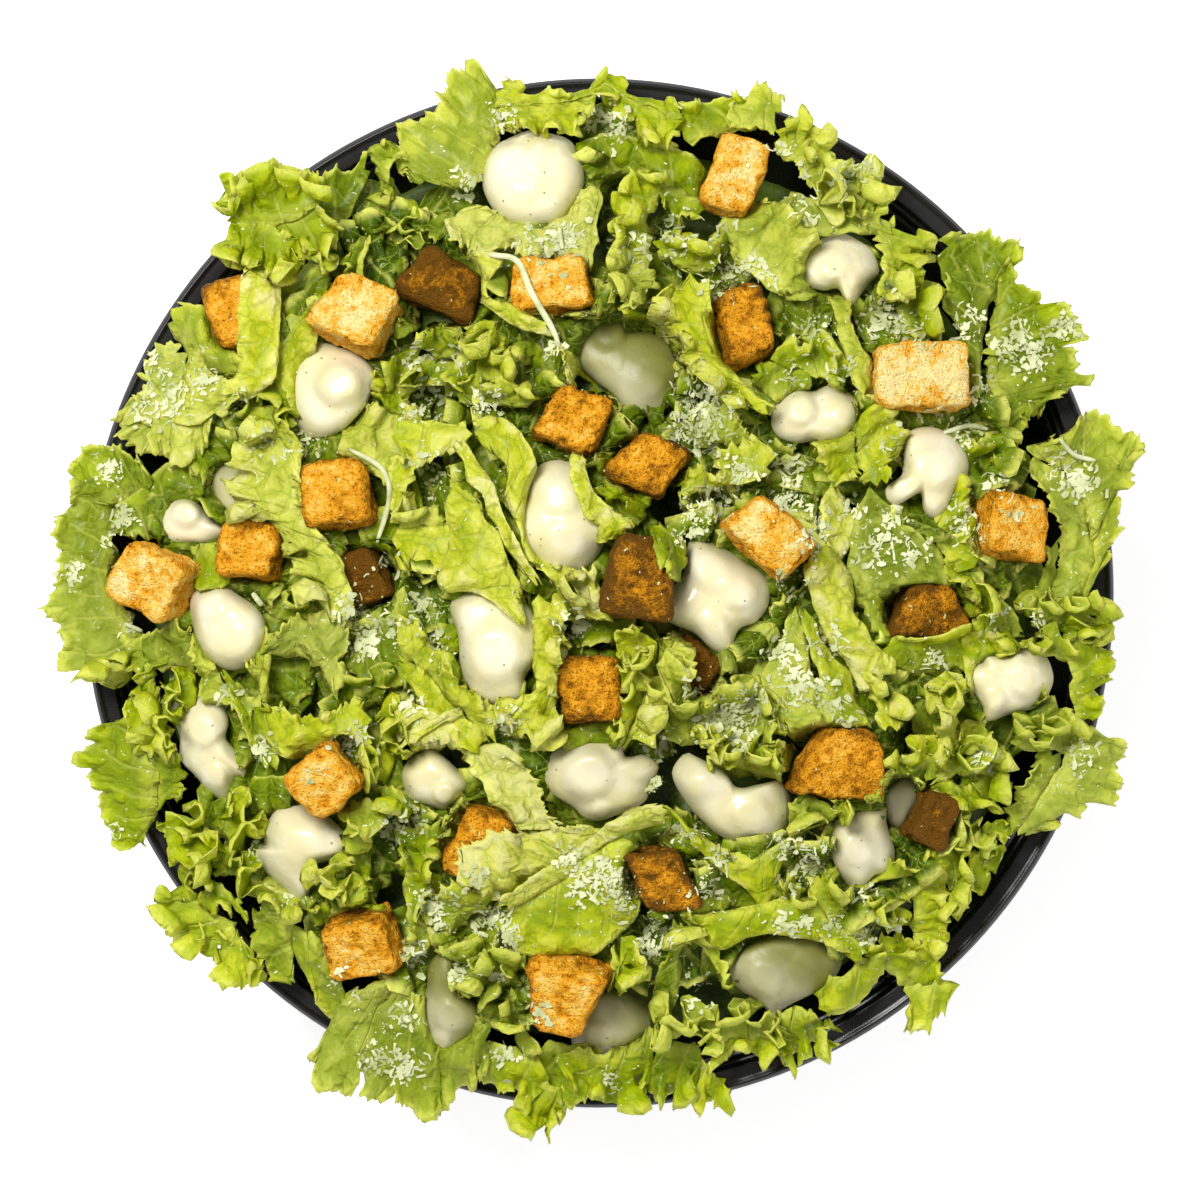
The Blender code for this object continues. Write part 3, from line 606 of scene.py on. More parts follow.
# The pieces that lie on top, each where it fell: its kind, its tone from dark to pale (the leaf's
# own colour, with painted shade for pieces that lie in shadow), how high its two sides lie over the
# heap and how far it bulges, in millimetres, then the places along its cut or rib side and along its
# frilled margin, and the toppings that it covers.
TOP_LEAVES = (
    # upper left
    ("curly", 0.6, 5, 7, 1, "-71 72, -65 71.5, -60 73.5, -56 76", "-74 77, -69 83, -60.5 84.2, -52.5 81.2"),
    ("curly", 0.64, 6, 4, 1.5, "-71 76, -67 74, -61 71", "-74 71, -73 65, -67.5 64.5, -62.5 60.5, -60 67"),
    ("frilled", 0.58, 4, 4, 1, "-66 75, -62 74, -57 77", "-60.5 67, -56 67.5, -53.5 64.3, -51 71.5, -54 76"),
    ("curly", 0.78, 6, 8, 0.5, "-70.5 73, -69.5 76, -69 80", "-74.5 75, -75 78, -72 80.5"),
    ("waved", 0.34, -3, 1, 1, "-58 70, -54 72, -49 75", "-57 80, -53 85, -49 84.5, -44.5 88"),
    ("frilled", 0.42, 1, 2, 1, "-46 88, -44 84, -43 78", "-41.5 90, -40.5 86, -42 80, -44 77"),
    ("waved", 0.16, -7, -5, 1, "-50 80, -46 82, -40 82", "-48.5 73, -45 70.5, -41 73.5, -37 73"),
    ("frilled", 0.36, -2, -1, 0.5, "-44 71.5, -41 72, -38 71.5, -39 69.5",
     "-43 73.5, -39 74.8, -35.8 72, -39 67"),
    ("plain", 0.72, 2, 2, 0.6, "-46.2 70.5, -47.2 66, -48.4 61", "-45 70.2, -45.8 66, -47 61"),
    ("waved", 0.3, -2, 0, 1, "-46 70.5, -47.5 61", "-49.5 68.5, -50.8 61"),
    ("plain", 0.86, 6, 6, 1.3, "-70.4 65, -70.6 55, -71.4 44, -75 40",
     "-63.2 65, -62.6 54, -63.4 44, -68 37", "crouton_02"),
    ("plain", 0.7, 3, 5, 1.5, "-84.5 51.5, -79.3 46, -73 42.2, -66.5 41.5",
     "-83.9 57.6, -77.5 56.5, -74 50, -67.5 45"),
    ("torn", 0.8, 2, 3, 1, "-88 33, -84 38, -81 43", "-95.5 35, -89.5 42, -91 45, -87 48.5, -83 50"),
    ("torn", 0.8, 3, 3, 1.5, "-86 34, -83 38, -82 45", "-73 35, -71.7 41, -75 44, -80.5 50"),
    ("plain", 0.74, 0, 0, 0.6, "-64.5 51, -64 43, -61 35", "-52 60.5, -55 52, -57 38"),
    ("waved", 0.42, -3, -2, 1, "-64.5 62, -60 64, -53 66", "-65 53, -60 54, -53 59"),
    ("frilled", 0.45, -2, 0, 0.8, "-36 61, -35.5 52", "-41 61, -39.5 56, -40 50"),
    ("frilled", 0.55, 0, 1, 0.8, "-35 48, -37 42, -39 35", "-43.5 45, -44 40, -43 36"),
    ("curly", 0.42, 0, 1, 0.8, "-72 42, -66 43, -62 42", "-71 35, -67 37.5, -62 34"),
    # top
    ("broad", 0.5, -1, 4, 2, "-34 82, -28 80, -23 82, -20 89, -19 96",
     "-36 80, -40 85, -39 93, -31.5 96, -31 102, -25 104.5, -20 101"),
    ("frilled", 0.74, 3, 3, 1, "-20 96.5, -14 97, -8 97, -3 98, 1 100",
     "-19 93.5, -13 91, -8 90.5, -3 92, -3 96"),
    ("waved", 0.72, 3, 3, 0.8, "-20 97, -14 97, -8 97, -3 98, 1 100",
     "-19 102, -14 100.2, -8 99.6, -3 99.6, 2 103"),
    ("frilled", 0.68, 3, 2, 1, "1 101, 5 99, 10 97, 14 97", "-1 98, 4 96, 8 92, 10 88.5, 14 88, 16.5 90"),
    ("waved", 0.66, 3, 3, 0.8, "1 100, 5 98, 10 96, 15 93", "2 103, 6 99.5, 11 98.8, 16 96"),
    ("waved", 0.22, -6, -5, 0.8, "-4 90, 2 90, 9 90", "-4 98, 2 98, 9 96"),
    ("plain", 0.4, -4, -1, 2, "-3 80, 5 83, 12 79, 18 74", "-5 90, 6 90.5, 15 88, 22 84"),
    ("waved", 0.6, -1, 2, 1, "17 88, 22 90, 27 91, 31 92", "14.5 96, 20 98.3, 26 99, 30 99.5"),
    ("torn", 0.8, 3, 3, 1, "26 91, 30 92, 34 91", "25.5 98, 31 100.5, 35 100.5, 36 97"),
    ("curly", 0.66, 1, 3, 1, "9 68, 10 74, 13 80", "2 68, 2 72, 5 75, 4 80, 6 83, 12 83.5"),
    ("waved", 0.5, 0, 2, 1, "11 82, 15 80, 20 78", "12 77, 15 73.5, 20 73"),
    ("curly", 0.62, 1, 2, 1, "10 71, 10 65, 12 60", "2 72, 3 67, 2 62, 4 57, 9 60"),
    ("curly", 0.56, -1, 1, 1, "11 67, 17 64, 22 63", "12 71, 18 70, 24 67.5"),
    ("frilled", 0.78, 4, 3, 1.6, "22 62, 22.5 52, 26 44, 34 36.5", "12 60, 10 53, 15 48, 20 43, 28 36"),
    ("waved", 0.5, -3, -2, 1, "12 58, 12 50", "4 57, 6 51"),
    ("torn", 0.8, 1, 2, 1.5, "-26 77, -18 75, -8 78, 1 81", "-32 71, -25 67, -17 67, -10 64, -3 62, -1 70"),
    ("torn", 0.3, -4, -2, 1, "-34 74, -28 76", "-36 71, -31 69"),
    ("plain", 0.84, 3, 4, 0.6, "-19 64, -21.5 62, -21.5 58, -17 56.5, -10 53",
     "-20 68, -25.5 67, -26.8 61, -20 54.5, -9 49.5"),
    ("frilled", 0.8, 3, 4, 0.6, "-7.5 50, -2 43.5, 5 40.5", "-10 48, -5 42, 3 36.5"),
    ("curly", 0.62, 1, 2, 1, "-33 46, -28 46, -21 46", "-35.5 51, -32 53, -26 50.5, -20 51"),
    ("curly", 0.5, -1, 1, 1, "-36 47, -30 46, -24 44", "-39 40, -33 41.5, -27 40"),
    ("curly", 0.62, 0, 2, 1, "-26 44, -21 41", "-22 48, -17 47, -15 43"),
    ("curly", 0.52, -1, 1, 1, "-28 37, -20 37, -13 37", "-29 42, -22 41, -11 40.5"),
    ("waved", 0.26, -7, -6, 1, "-18 41, -9 39", "-17 51, -7 48"),
    ("broad", 0.66, 0, 3, 2, "24 73, 27 66, 33 60, 40 57", "30 78, 37 77, 44 70, 47 61"),
    ("waved", 0.5, -2, 0, 0.8, "30 42, 36 38, 41 39", "32 44, 37 46.5, 42 46"),
    # upper right
    ("curly", 0.74, 2, 3, 1, "35 88, 39 84, 42 80", "36.5 94, 41 94.5, 45 91, 43 87, 46 86, 49 84"),
    ("curly", 0.76, 2, 3, 1, "43 78, 48 76, 55 71", "46 86, 50 85, 54.5 85, 53 81, 57 79.5, 56 76, 59 73.5"),
    ("curly", 0.74, 4, 5, 0.8, "51 81, 47 83, 43 84", "52 76, 48 75, 44 78, 42 81"),
    ("plain", 0.58, 0, 1, 1.5, "38 70, 47 71, 57 71", "36 79, 44 78.5, 50 76, 58 73"),
    ("curly", 0.72, 2, 2, 1, "54 72, 56 66, 55 60", "63 70.5, 66 67, 62 63, 62.5 59, 57 57.5"),
    ("curly", 0.52, 0, 0, 1, "55 62, 58 56, 62 50", "63 63, 67 59, 66 55, 68 51.5"),
    ("broad", 0.44, 0, 3, 1.5, "70 60, 75 60, 79 60",
     "67 71, 72 72, 77 71.5, 80 70.5, 83 70.5, 82 67, 80 65"),
    ("broad", 0.46, 1, 2, 1.2, "79 62, 78 54, 76 46", "80 66, 83 63, 86 59, 93 57, 97 51.5, 94 49"),
    ("broad", 0.4, 1, 1, 1.2, "76 48, 77 41, 78 34", "90 49, 94 48, 96 44, 98 42, 92 40, 88 36"),
    ("broad", 0.36, 1, -1, 1.5, "79 61, 76 50, 75 38", "69 67, 68 58, 71 49, 72 38"),
    ("plain", 0.74, 2, 2, 0.8, "45 61, 46.5 54, 48.5 46, 51 40", "49.5 60, 50 54, 53 46, 55.5 40"),
    ("waved", 0.36, -3, -3, 1, "50 58, 58 58, 63 54", "52 47, 58 48, 65 49"),
    ("waved", 0.28, -4, -4, 1, "34 60, 46 60", "34 50, 46 51"),
    ("frilled", 0.56, 0, 1, 0.8, "40 43, 44 42, 47 41", "37 46, 40 50.5, 44 51, 48 47.5, 49 43"),
    ("torn", 0.46, 0, -1, 1, "77 43, 83 43, 89 41", "76 35, 80 32, 82 30, 85 33, 90 38"),
    # left
    ("torn", 0.8, 2, 1, 1, "-88 39, -84 38", "-98 36, -95 31, -91.5 27, -88 31"),
    ("waved", 0.78, 2, 2, 1.2, "-87 40, -82 39, -77 40", "-89.5 28.5, -84 25, -79 26.5, -76 34"),
    ("plain", 0.18, -3, -1, 1.2, "-71 35, -72 26, -70 14", "-77 37, -81 28, -80 20, -73 12", "dressing_11"),
    ("plain", 0.38, -1, 0, 1.5, "-94 11, -88 11, -82 12", "-98 14.5, -92 20, -86 25.5, -78 25"),
    ("broad", 0.44, 0, 1, 1, "-97 17, -92 19, -88 20", "-106 23, -103 28.5, -97 30, -92 27, -88 23"),
    ("broad", 0.46, -2, 1, 1.6, "-97 19, -96 10, -96 2, -92 -6, -90 -11",
     "-104 24, -106 17, -109 12, -107 7, -109 1, -110 -4, -106.5 -9, -107 -14, -101 -17"),
    ("frilled", 0.8, 4, 3, 2, "-58 29, -58 18, -53 10, -49 3, -49 -4",
     "-66 35, -71.5 28, -73 20, -67 14, -61 9, -59.5 3, -56 -4", "dressing_10", "crouton_14"),
    ("curly", 0.7, 1, 2, 0.8, "-71 37, -64 37", "-68 30, -62 31, -61 37"),
    ("waved", 0.72, -1, 1, 1.8, "-53 27, -46 24, -40 20", "-48 37, -42 37.5, -34 37"),
    ("waved", 0.46, -3, -2, 1, "-48 14, -42 18, -36 22", "-43 4, -38 6, -34 10"),
    ("plain", 0.5, -2, -1, 0.8, "-81 9, -73 10", "-80 0, -73 1"),
    ("frilled", 0.24, -5, -4, 0.8, "-70 2, -62 -4", "-60 4, -57 -3"),
    ("frilled", 0.36, -3, -2, 0.8, "-68 -1, -60 -8", "-63 3, -56 -3"),
    ("plain", 0.72, 2, 1, 0.8, "-70 -14, -67 -18, -66 -22", "-71 0, -66 -6, -64.5 -13, -65 -21"),
    ("broad", 0.62, 1, 3, 1.4, "-52 -21, -56 -14, -64 -12",
     "-51 -20, -50.5 -12, -49 -4, -56 -4, -62 -6, -66 -11"),
    ("plain", 0.42, -2, -1, 1.2, "-50 -14, -45 -5, -38 1", "-44 -19, -38 -18, -33 -10"),
    ("frilled", 0.28, -3, 0, 0.8, "-50 -22, -46 -23, -42 -21", "-51 -17, -47 -15, -42 -17"),
    ("waved", 0.66, 1, 2, 1.2, "-67 -29, -60 -33, -50 -28, -46 -31",
     "-68 -20, -62 -22.5, -56 -24, -50 -21.5, -45 -21"),
    ("torn", 0.62, 0, 1, 0.8, "-76 -10, -74 -18, -67 -21", "-80.5 -8, -80 -17, -77 -22, -72 -23, -69 -28"),
    ("plain", 0.48, 0, 1, 0.8, "-70 -19, -65 -28, -63 -34", "-75 -15, -71 -24, -68 -33"),
    ("curly", 0.7, 0, 1, 0.8, "-95 -8, -91 -9, -86 -10", "-103 -17, -98 -17.5, -95 -14, -91 -17, -88 -18"),
    ("curly", 0.66, 0, 1, 0.8, "-89 -14, -87 -20, -87 -27",
     "-93 -20, -90 -25, -91.5 -31, -86 -32.5, -84 -29"),
    ("curly", 0.68, 1, 2, 0.6, "-87 -25, -86 -20", "-84 -30, -83.5 -24, -82 -19, -85 -17"),
    ("torn", 0.5, -1, 0, 0.8, "-90 -16, -85 -15, -80 -16", "-90 -8, -86 -6, -80 -6.5"),
    ("curly", 0.6, 0, 1, 0.6, "-41 -27, -39 -26", "-45 -24, -41 -22, -37 -25, -39 -30, -44 -29"),
    ("curly", 0.54, 0, 0, 0.6, "-48 -33, -47 -38", "-45 -30, -43 -33, -44 -38"),
    ("waved", 0.24, -5, -5, 1, "-74 -30, -62 -30", "-74 -42, -62 -42"),
    # right
    ("waved", 0.66, 2, 3, 1.2, "50 31, 51 26, 52 21", "54 37, 59 35, 61.5 31, 58 26, 58 22"),
    ("waved", 0.66, 2, 2, 0.8, "50 32, 51 24", "42 31, 42.5 26, 46 22, 51 23"),
    ("plain", 0.34, 0, -1, 2, "51 19, 49 10, 49.5 2, 54 -8", "56 19, 61 13, 67 8, 69 0, 61 -3"),
    ("plain", 0.5, 0, 0, 0.8, "50 2, 54 -8", "56 -1, 59 -8"),
    ("plain", 0.82, 2, 2, 1.5, "45 9, 48.5 4, 50 -2, 53 -8, 59.5 -14",
     "41.5 8, 40.5 3, 42.5 -4, 47 -12, 52 -20"),
    ("frilled", 0.74, 1, 1, 1, "51 -17, 54 -22, 56 -27", "54 -16, 58.5 -22, 58.5 -26"),
    ("plain", 0.8, -2, -2, 1, "44 20, 43 14, 43 7", "48 21, 50 15, 49 7"),
    ("waved", 0.2, -5, -4, 0.8, "34 20, 44 19, 52 20", "34 31, 44 26, 51 24"),
    ("torn", 0.66, 1, 1, 1, "66 16, 67 9, 69 4", "72 25, 74 18, 75 12, 77 7"),
    ("curly", 0.52, 0, 0, 0.8, "75 5, 78 -1, 82 -7", "69 5, 71 0, 74 -1, 75 -5, 80 -9"),
    ("plain", 0.48, -1, 0, 0.8, "75 -5, 80 -9, 84 -9", "76 0, 81 -2.5, 83.5 -7"),
    ("plain", 0.18, -7, -6, 0.8, "76 -2, 86 -4", "76 9, 88 9"),
    ("curly", 0.44, -2, -1, 0.8, "72 23, 77 24", "71.5 29, 75 30.5, 78 27"),
    ("broad", 0.62, 2, 3, 1.2, "84 27, 91 24, 96 18, 98 8",
     "87 30, 93 31.5, 98 37, 101 34.5, 106.5 31.5, 108.5 29, 103.5 27"),
    ("broad", 0.64, 2, 3, 1.2, "91 25, 96 18, 98 8, 96 0",
     "103 28, 106 21.5, 102.5 19.5, 104 16, 103 12, 101 8, 99 3"),
    ("broad", 0.6, 2, -1, 1.5, "91 25, 96 18, 98 8, 96 0", "84 26, 88 19, 91 12, 90 5, 88 -2"),
    ("waved", 0.58, -1, 0, 0.8, "91 9, 90 3, 89 -4", "88 9, 87 3, 84 -3"),
    ("curly", 0.62, 0, 1, 0.8, "86 -7, 92 -6, 97 -6", "84 -3, 88 -1, 92 -1.5, 96 0.5, 99 -3, 102 -6"),
    ("curly", 0.6, -1, 0, 0.8, "90 -6, 95 -6, 99 -6", "92 -9.5, 97 -10, 101.5 -8.5"),
    ("waved", 0.6, 0, 0, 1, "93 -9, 93 -16, 95 -24", "99 -8.5, 101.5 -13, 102.5 -18, 99.5 -20, 100 -24"),
    ("plain", 0.5, -1, 1, 1.8, "58 -16, 67 -16, 75 -15",
     "55 -9, 62 -8.5, 68 -7.8, 73 -6, 78 -8.5", "crouton_17"),
    ("plain", 0.7, 1, 1, 0.8, "72 -11, 78 -12.5, 83 -11.5", "72 -6.5, 78 -8, 84 -10", "dressing_20"),
    ("frilled", 0.66, 0, 1, 0.6, "83 -10, 88 -12, 92 -13.5", "85 -9, 91 -8.5, 94.5 -12.5"),
    ("curly", 0.74, 2, 2, 1, "74 -18, 71 -22, 71 -31", "69 -17, 66.5 -21, 66 -26, 68 -31"),
    ("waved", 0.28, -3, -3, 0.8, "70 -21, 70 -31", "76 -21, 75 -30"),
    ("plain", 0.86, 1, 1, 0.6, "72 -11, 76 -12", "72.5 -19, 77 -20"),
    ("curly", 0.6, 0, 1, 0.8, "83 -31, 90 -31.5, 97 -30", "81.5 -25, 86 -27, 88 -25, 92 -23.5, 97 -27.5"),
    ("frilled", 0.58, 1, 2, 0.8, "57 -39, 62 -37, 65 -34",
     "53 -36, 54 -32.5, 58 -31.5, 61 -33, 63 -29.5, 68 -30"),
    ("curly", 0.64, 1, 2, 1, "66 -38, 70 -36, 77 -36", "65 -34, 68 -31, 72 -31, 76 -27, 79 -31, 82 -35"),
    ("waved", 0.16, -6, -6, 1, "57 -14, 70 -15", "58 -25, 70 -26"),
    ("waved", 0.38, -3, -3, 0.8, "58 -18, 64 -30", "66 -18, 69 -29"),
    # centre
    ("torn", 0.8, 2, 2, 1, "-40 35, -33 34, -25 33", "-40 27, -36 24, -32 26, -27 28"),
    ("plain", 0.8, 3, 3, 1, "-24 29, -19 26.5, -17.8 23, -18.5 18, -16 12, -13 5",
     "-25 33.5, -19 35, -14.5 30, -12.2 25, -13.5 19, -13.5 13, -11 8"),
    ("plain", 0.86, 4, 4, 0.5, "-29 28.5, -25 22, -21.5 16, -19 10.5, -14 3",
     "-26 30, -22 23, -18.5 16, -15.5 9, -11 2"),
    ("waved", 0.3, -5, -5, 0.8, "-26 31, -23 17", "-17 30, -17 18"),
    ("plain", 0.84, 3, 4, 0.8, "-5.5 29, -5 20, -1 14, 6 12",
     "-2.5 26, -1 20, 3 16, 7.5 14.5", "dressing_07"),
    ("plain", 0.82, 2, 3, 0.8, "-5.5 18, -2 11, 2 10", "-1 20, 3 16, 7 13"),
    ("frilled", 0.84, 2, 2, 0.8, "-14 8, -10 3, -4 -4, 1 -5.5", "-12 11, -7 5.5, -2 -0.5, 3 -1.5, 4 -3.5"),
    ("plain", 0.74, 4, 3, 1.5, "-26 21, -21 13, -17 4, -13.5 -6",
     "-29.5 19, -30 10, -31 1, -25 0, -18 -5", "dressing_08"),
    ("frilled", 0.7, 3, 2, 1.5, "-13 -2, -13 -12, -13 -19, -17 -24",
     "-7 0, -7 -8, -7.5 -15, -9 -24, -14 -27"),
    ("curly", 0.76, 1, 2, 1, "-21 -21, -14 -20, -9 -18", "-20.5 -25, -15 -28, -10.5 -31, -7 -28"),
    ("broad", 0.68, 1, 1, 1, "-39 -12, -33 -17, -27 -23, -22 -29",
     "-39 -3, -33 -9, -28 -16, -21 -22, -19.5 -27"),
    ("plain", 0.72, 1, 1, 1, "-39 -12, -33 -17, -27 -23, -22 -29", "-39 -16, -35 -21, -31 -26, -26 -32"),
    ("plain", 0.97, 3, 3, 0.5, "-39 -30.5, -33 -27.3, -27.5 -24", "-38.2 -28, -32.5 -25, -27.8 -22"),
    ("torn", 0.92, 1, 2, 0.8, "-40.5 -21, -34 -21.5, -27 -22", "-39.5 -29.5, -34 -31, -27.5 -31"),
    ("waved", 0.74, 0, 1, 1, "-40 13, -34 14, -29 14", "-40 3, -35 3.5, -29 4"),
    ("frilled", 0.7, 0, 1, 0.6, "-39 12, -34 13, -30 13", "-39 16, -35 17.5, -31 15"),
    ("torn", 0.7, 2, 2, 1, "17 19, 22 20.5, 28 22, 33.5 24",
     "13 23, 19 26, 21.5 22.5, 24 23, 24 28, 28 30.5, 34.5 29"),
    ("torn", 0.56, 0, 1, 1, "19 29, 27 29", "17 33, 21 38, 27 36, 30 31"),
    ("plain", 0.52, 0, 1, 0.8, "10.5 7, 13 4, 15 2",
     "10.5 15, 13 12.5, 17 10, 16.5 4", "crouton_15", "dressing_09"),
    ("curly", 0.42, -2, -1, 0.8, "3 14, 9 13", "0 22, 5 21, 10 18"),
    ("frilled", 0.6, 2, 2, 0.8, "5 -30, 9 -20, 12 -12", "1 -31, 4 -20, 4 -12, 4 -7, 8 -6"),
    ("curly", 0.68, 2, 3, 0.8, "5 -30, 9 -20, 12 -12",
     "8 -28, 12 -20, 18 -16, 16 -12, 18 -9, 12 -8", "crouton_19"),
    ("curly", 0.7, 4, 5, 0.4, "6.5 -14.5, 8 -13.5", "5 -12, 7 -10, 9.5 -12, 9 -15.5, 6 -16.5"),
    ("waved", 0.34, -3, -3, 1, "0 -20, -8 -30", "12 -22, 4 -32"),
    ("curly", 0.5, 0, 1, 1, "13 -30, 22 -29, 31 -29", "11 -24, 15 -21, 20 -20, 26 -17.5, 33 -16"),
    ("curly", 0.52, 0, 1, 0.8, "30 -24, 29 -33", "35 -19, 36 -24, 34 -31"),
    ("plain", 0.6, 3, 1, 1.2, "39 -3.5, 42 -14, 45 -28", "38.5 -3.5, 34 -12, 32 -19, 36 -29"),
    ("plain", 0.6, 3, 1, 1.2, "39 -3.5, 42 -14, 45 -28", "40 -3.5, 46 -12, 51 -20, 54 -27"),
    ("plain", 0.97, -1, -1, 0.6, "-6.5 4, -1 5", "-4 -1.5, 1 -1.5"),
    ("curly", 0.72, 3, 4, 0.4, "21 -31.5, 23 -30.5",
     "19 -29, 22 -27.5, 25.5 -29.5, 24 -34, 20 -33.5", "dressing_17"),
    ("torn", 0.68, 1, 2, 0.6, "31 -33, 35 -34", "32 -29.5, 36 -28, 39 -33"),
    ("waved", 0.3, -5, -5, 1, "-4 -2, 8 -4", "-6 -11, 6 -10"),
    ("waved", 0.46, -3, -3, 1, "24 -3, 36 -6", "22 -16, 34 -17"),
    ("frilled", 0.82, 1, 2, 0.6, "-41.5 28, -41 20, -40.5 13", "-37 27, -36.5 21, -37.5 15"),
    ("curly", 0.62, 0, 2, 0.8, "24 -36, 30 -36, 36 -37", "22 -31, 27 -29.5, 33 -30, 38 -33"),
    # lower left
    ("broad", 0.5, 2, 0, 1.5, "-91 -28, -88 -35, -88 -42, -90 -49",
     "-97 -24, -101 -28, -103.5 -33, -100.5 -38, -98.5 -45, -97 -49.5, -92 -49.5"),
    ("waved", 0.5, 1, -1, 1, "-91 -28, -88 -35, -88 -43", "-88 -30, -82 -35, -85 -41"),
    ("curly", 0.66, 0, 1, 0.8, "-80 -44, -79 -49, -78 -54", "-87.5 -45, -84 -49, -82 -52, -81 -58"),
    ("curly", 0.62, 1, 2, 0.8, "-78 -47, -76 -51, -73 -54", "-83 -42, -81 -48, -79 -47.5, -75 -48"),
    ("frilled", 0.6, 1, 1, 0.8, "-76 -47, -72 -50", "-75 -42, -70 -40.5, -67.5 -44, -68.5 -50"),
    ("plain", 0.34, -3, -2, 0.8, "-70 -43, -61 -44", "-69 -36, -61 -36"),
    ("curly", 0.54, 1, 2, 0.6, "-76 -56, -72 -56, -69 -58", "-76 -53, -70 -52, -67 -56, -69 -61"),
    ("frilled", 0.6, 0, 1, 0.8, "-79 -55, -75 -58, -71 -61", "-83 -57, -79 -59.5, -75 -62, -70 -64"),
    ("frilled", 0.66, 0, 1, 1.2, "-79 -60, -75 -64, -71 -67",
     "-86 -58, -89 -62.5, -86 -67, -81 -70, -78 -72"),
    ("frilled", 0.7, 1, 0, 1, "-73 -66, -70 -70", "-77 -73, -74 -77, -69 -78.5, -66.5 -73"),
    ("torn", 0.74, 2, 3, 0.6, "-76 -67, -77.5 -69.5", "-73 -69, -75 -66, -78.5 -66, -80.5 -70"),
    ("frilled", 0.6, 0, 1, 0.8, "-69 -56, -62 -58, -57 -60", "-70 -60, -66 -61, -62 -64, -57 -61"),
    ("curly", 0.7, 3, 4, 0.4, "-54 -57, -52 -56.5",
     "-56.5 -57, -54 -53, -49.5 -55, -50 -60, -55 -60", "dressing_14"),
    ("plain", 0.34, -2, -1, 0.6, "-58 -60, -53 -61", "-57 -66, -53 -65"),
    ("frilled", 0.44, -1, 0, 0.8, "-50 -51, -46 -51", "-50 -57, -47 -59, -43.5 -56"),
    ("frilled", 0.5, -1, 0, 0.8, "-50 -58, -45 -58", "-48 -63, -43 -65"),
    ("waved", 0.48, 1, 1, 1.2, "-63 -61, -61 -69, -60 -75", "-70 -63, -68 -69, -66.5 -75, -62 -77.5"),
    ("plain", 0.58, 1, 1, 1, "-62 -64, -57 -67, -52 -71", "-61 -73, -57 -77, -55.5 -83, -51 -85.5, -50 -79"),
    ("curly", 0.62, 1, 2, 0.8, "-51 -43, -47 -41, -43 -41", "-50 -47, -47 -49, -44 -47, -42 -42"),
    ("curly", 0.56, 0, 1, 0.8, "-42 -38, -37 -40", "-43 -42, -39 -44, -36 -42"),
    ("broad", 0.54, 1, 1, 1.6, "-50 -79, -44 -77, -38 -77",
     "-54 -87, -57.5 -96, -52 -100, -48 -96.5, -45 -101, -40 -101"),
    ("broad", 0.52, 1, 1, 1.6, "-41 -77, -32 -80, -23 -84",
     "-42 -100, -37 -103.5, -31 -105, -31 -101, -26 -99, -21.5 -91"),
    # bottom
    ("torn", 0.9, 2, 2, 0.8, "-28 -31, -23 -38, -16 -47", "-16 -30, -13 -36, -9.5 -43, -6 -46.5"),
    ("torn", 0.86, 3, 3, 1, "-20 -61, -12 -56, -5 -51, 0 -47",
     "-30 -54, -27 -49.5, -22 -47, -16 -46.5, -8 -46, -1 -46", "crouton_22"),
    ("plain", 0.84, 4, 4, 0.8, "-18 -63, -10 -58, -2 -52, 6 -47, 14 -44",
     "-20.5 -60.5, -12 -55, -4 -49.5, 4 -44, 12 -40.5"),
    ("plain", 0.58, 3, 2, 1.2, "-18 -62, -10 -57, -2 -51, 5 -47",
     "-20.5 -66.5, -14 -72, -7 -73.5, 0 -70.5, 7 -65, 9 -60"),
    ("torn", 0.62, 1, 2, 1, "-21 -62, -27 -65, -30 -68", "-23 -58, -27 -57, -32 -58.5, -35.5 -61, -35 -65"),
    ("frilled", 0.66, 1, 0, 0.8, "-26 -65, -32 -69, -39 -73", "-33 -62, -37 -66, -41 -71"),
    ("curly", 0.42, -2, -1, 0.8, "-40 -46, -31 -45", "-39 -52, -34 -52, -30 -49"),
    ("frilled", 0.58, 0, 1, 0.8, "-39 -50, -38.5 -58, -38 -65", "-34 -51, -32.5 -55, -34 -60, -35 -65"),
    ("curly", 0.66, 2, 3, 0.5, "-29 -45, -26 -44", "-29 -41, -25 -41, -24 -43.5"),
    ("curly", 0.46, 1, 2, 0.8, "-25 -74, -20 -76, -16 -77",
     "-31 -71, -27 -69.5, -24 -72.5, -22 -69, -18 -70, -16.5 -74", "dressing_22"),
    ("curly", 0.5, 0, 1, 0.8, "-25 -73, -20 -75",
     "-30.5 -73, -29 -77, -25 -80, -21 -79, -17.5 -77", "dressing_22"),
    ("frilled", 0.5, 0, 1, 0.6, "-16.5 -78, -15 -87", "-20.5 -80, -19 -86.5, -13 -87.5"),
    ("frilled", 0.56, 1, 2, 0.8, "2 -78, 2.5 -73, 3 -68", "5 -66.5, 9 -71, 9.5 -75, 6 -78, 3 -79.5"),
    ("plain", 0.3, -3, -3, 0.6, "0 -70, 0 -78", "5 -70, 5 -78"),
    ("plain", 0.42, -1, 0, 0.6, "16 -70, 15.5 -82", "12 -73, 10.5 -80, 13 -84"),
    ("frilled", 0.62, 1, 1, 0.5, "16 -62, 20 -70, 25 -78", "18.5 -62, 22.5 -70, 27 -77"),
    ("curly", 0.58, 0, 1, 0.6, "14 -64, 17 -66", "15 -70, 19 -69"),
    ("plain", 0.66, 2, 2, 1.5, "18 -63, 26 -63, 33 -61, 40 -60, 48 -66, 53 -70",
     "18 -65, 24 -70.5, 30 -68.5, 38 -67.5, 46 -70, 52 -73", "dressing_21"),
    ("plain", 0.66, 2, 1, 1.2, "13 -41, 20 -48, 30 -51.5, 39 -47",
     "13 -43, 21 -51.5, 28 -58, 33 -64, 34.5 -57, 38 -50"),
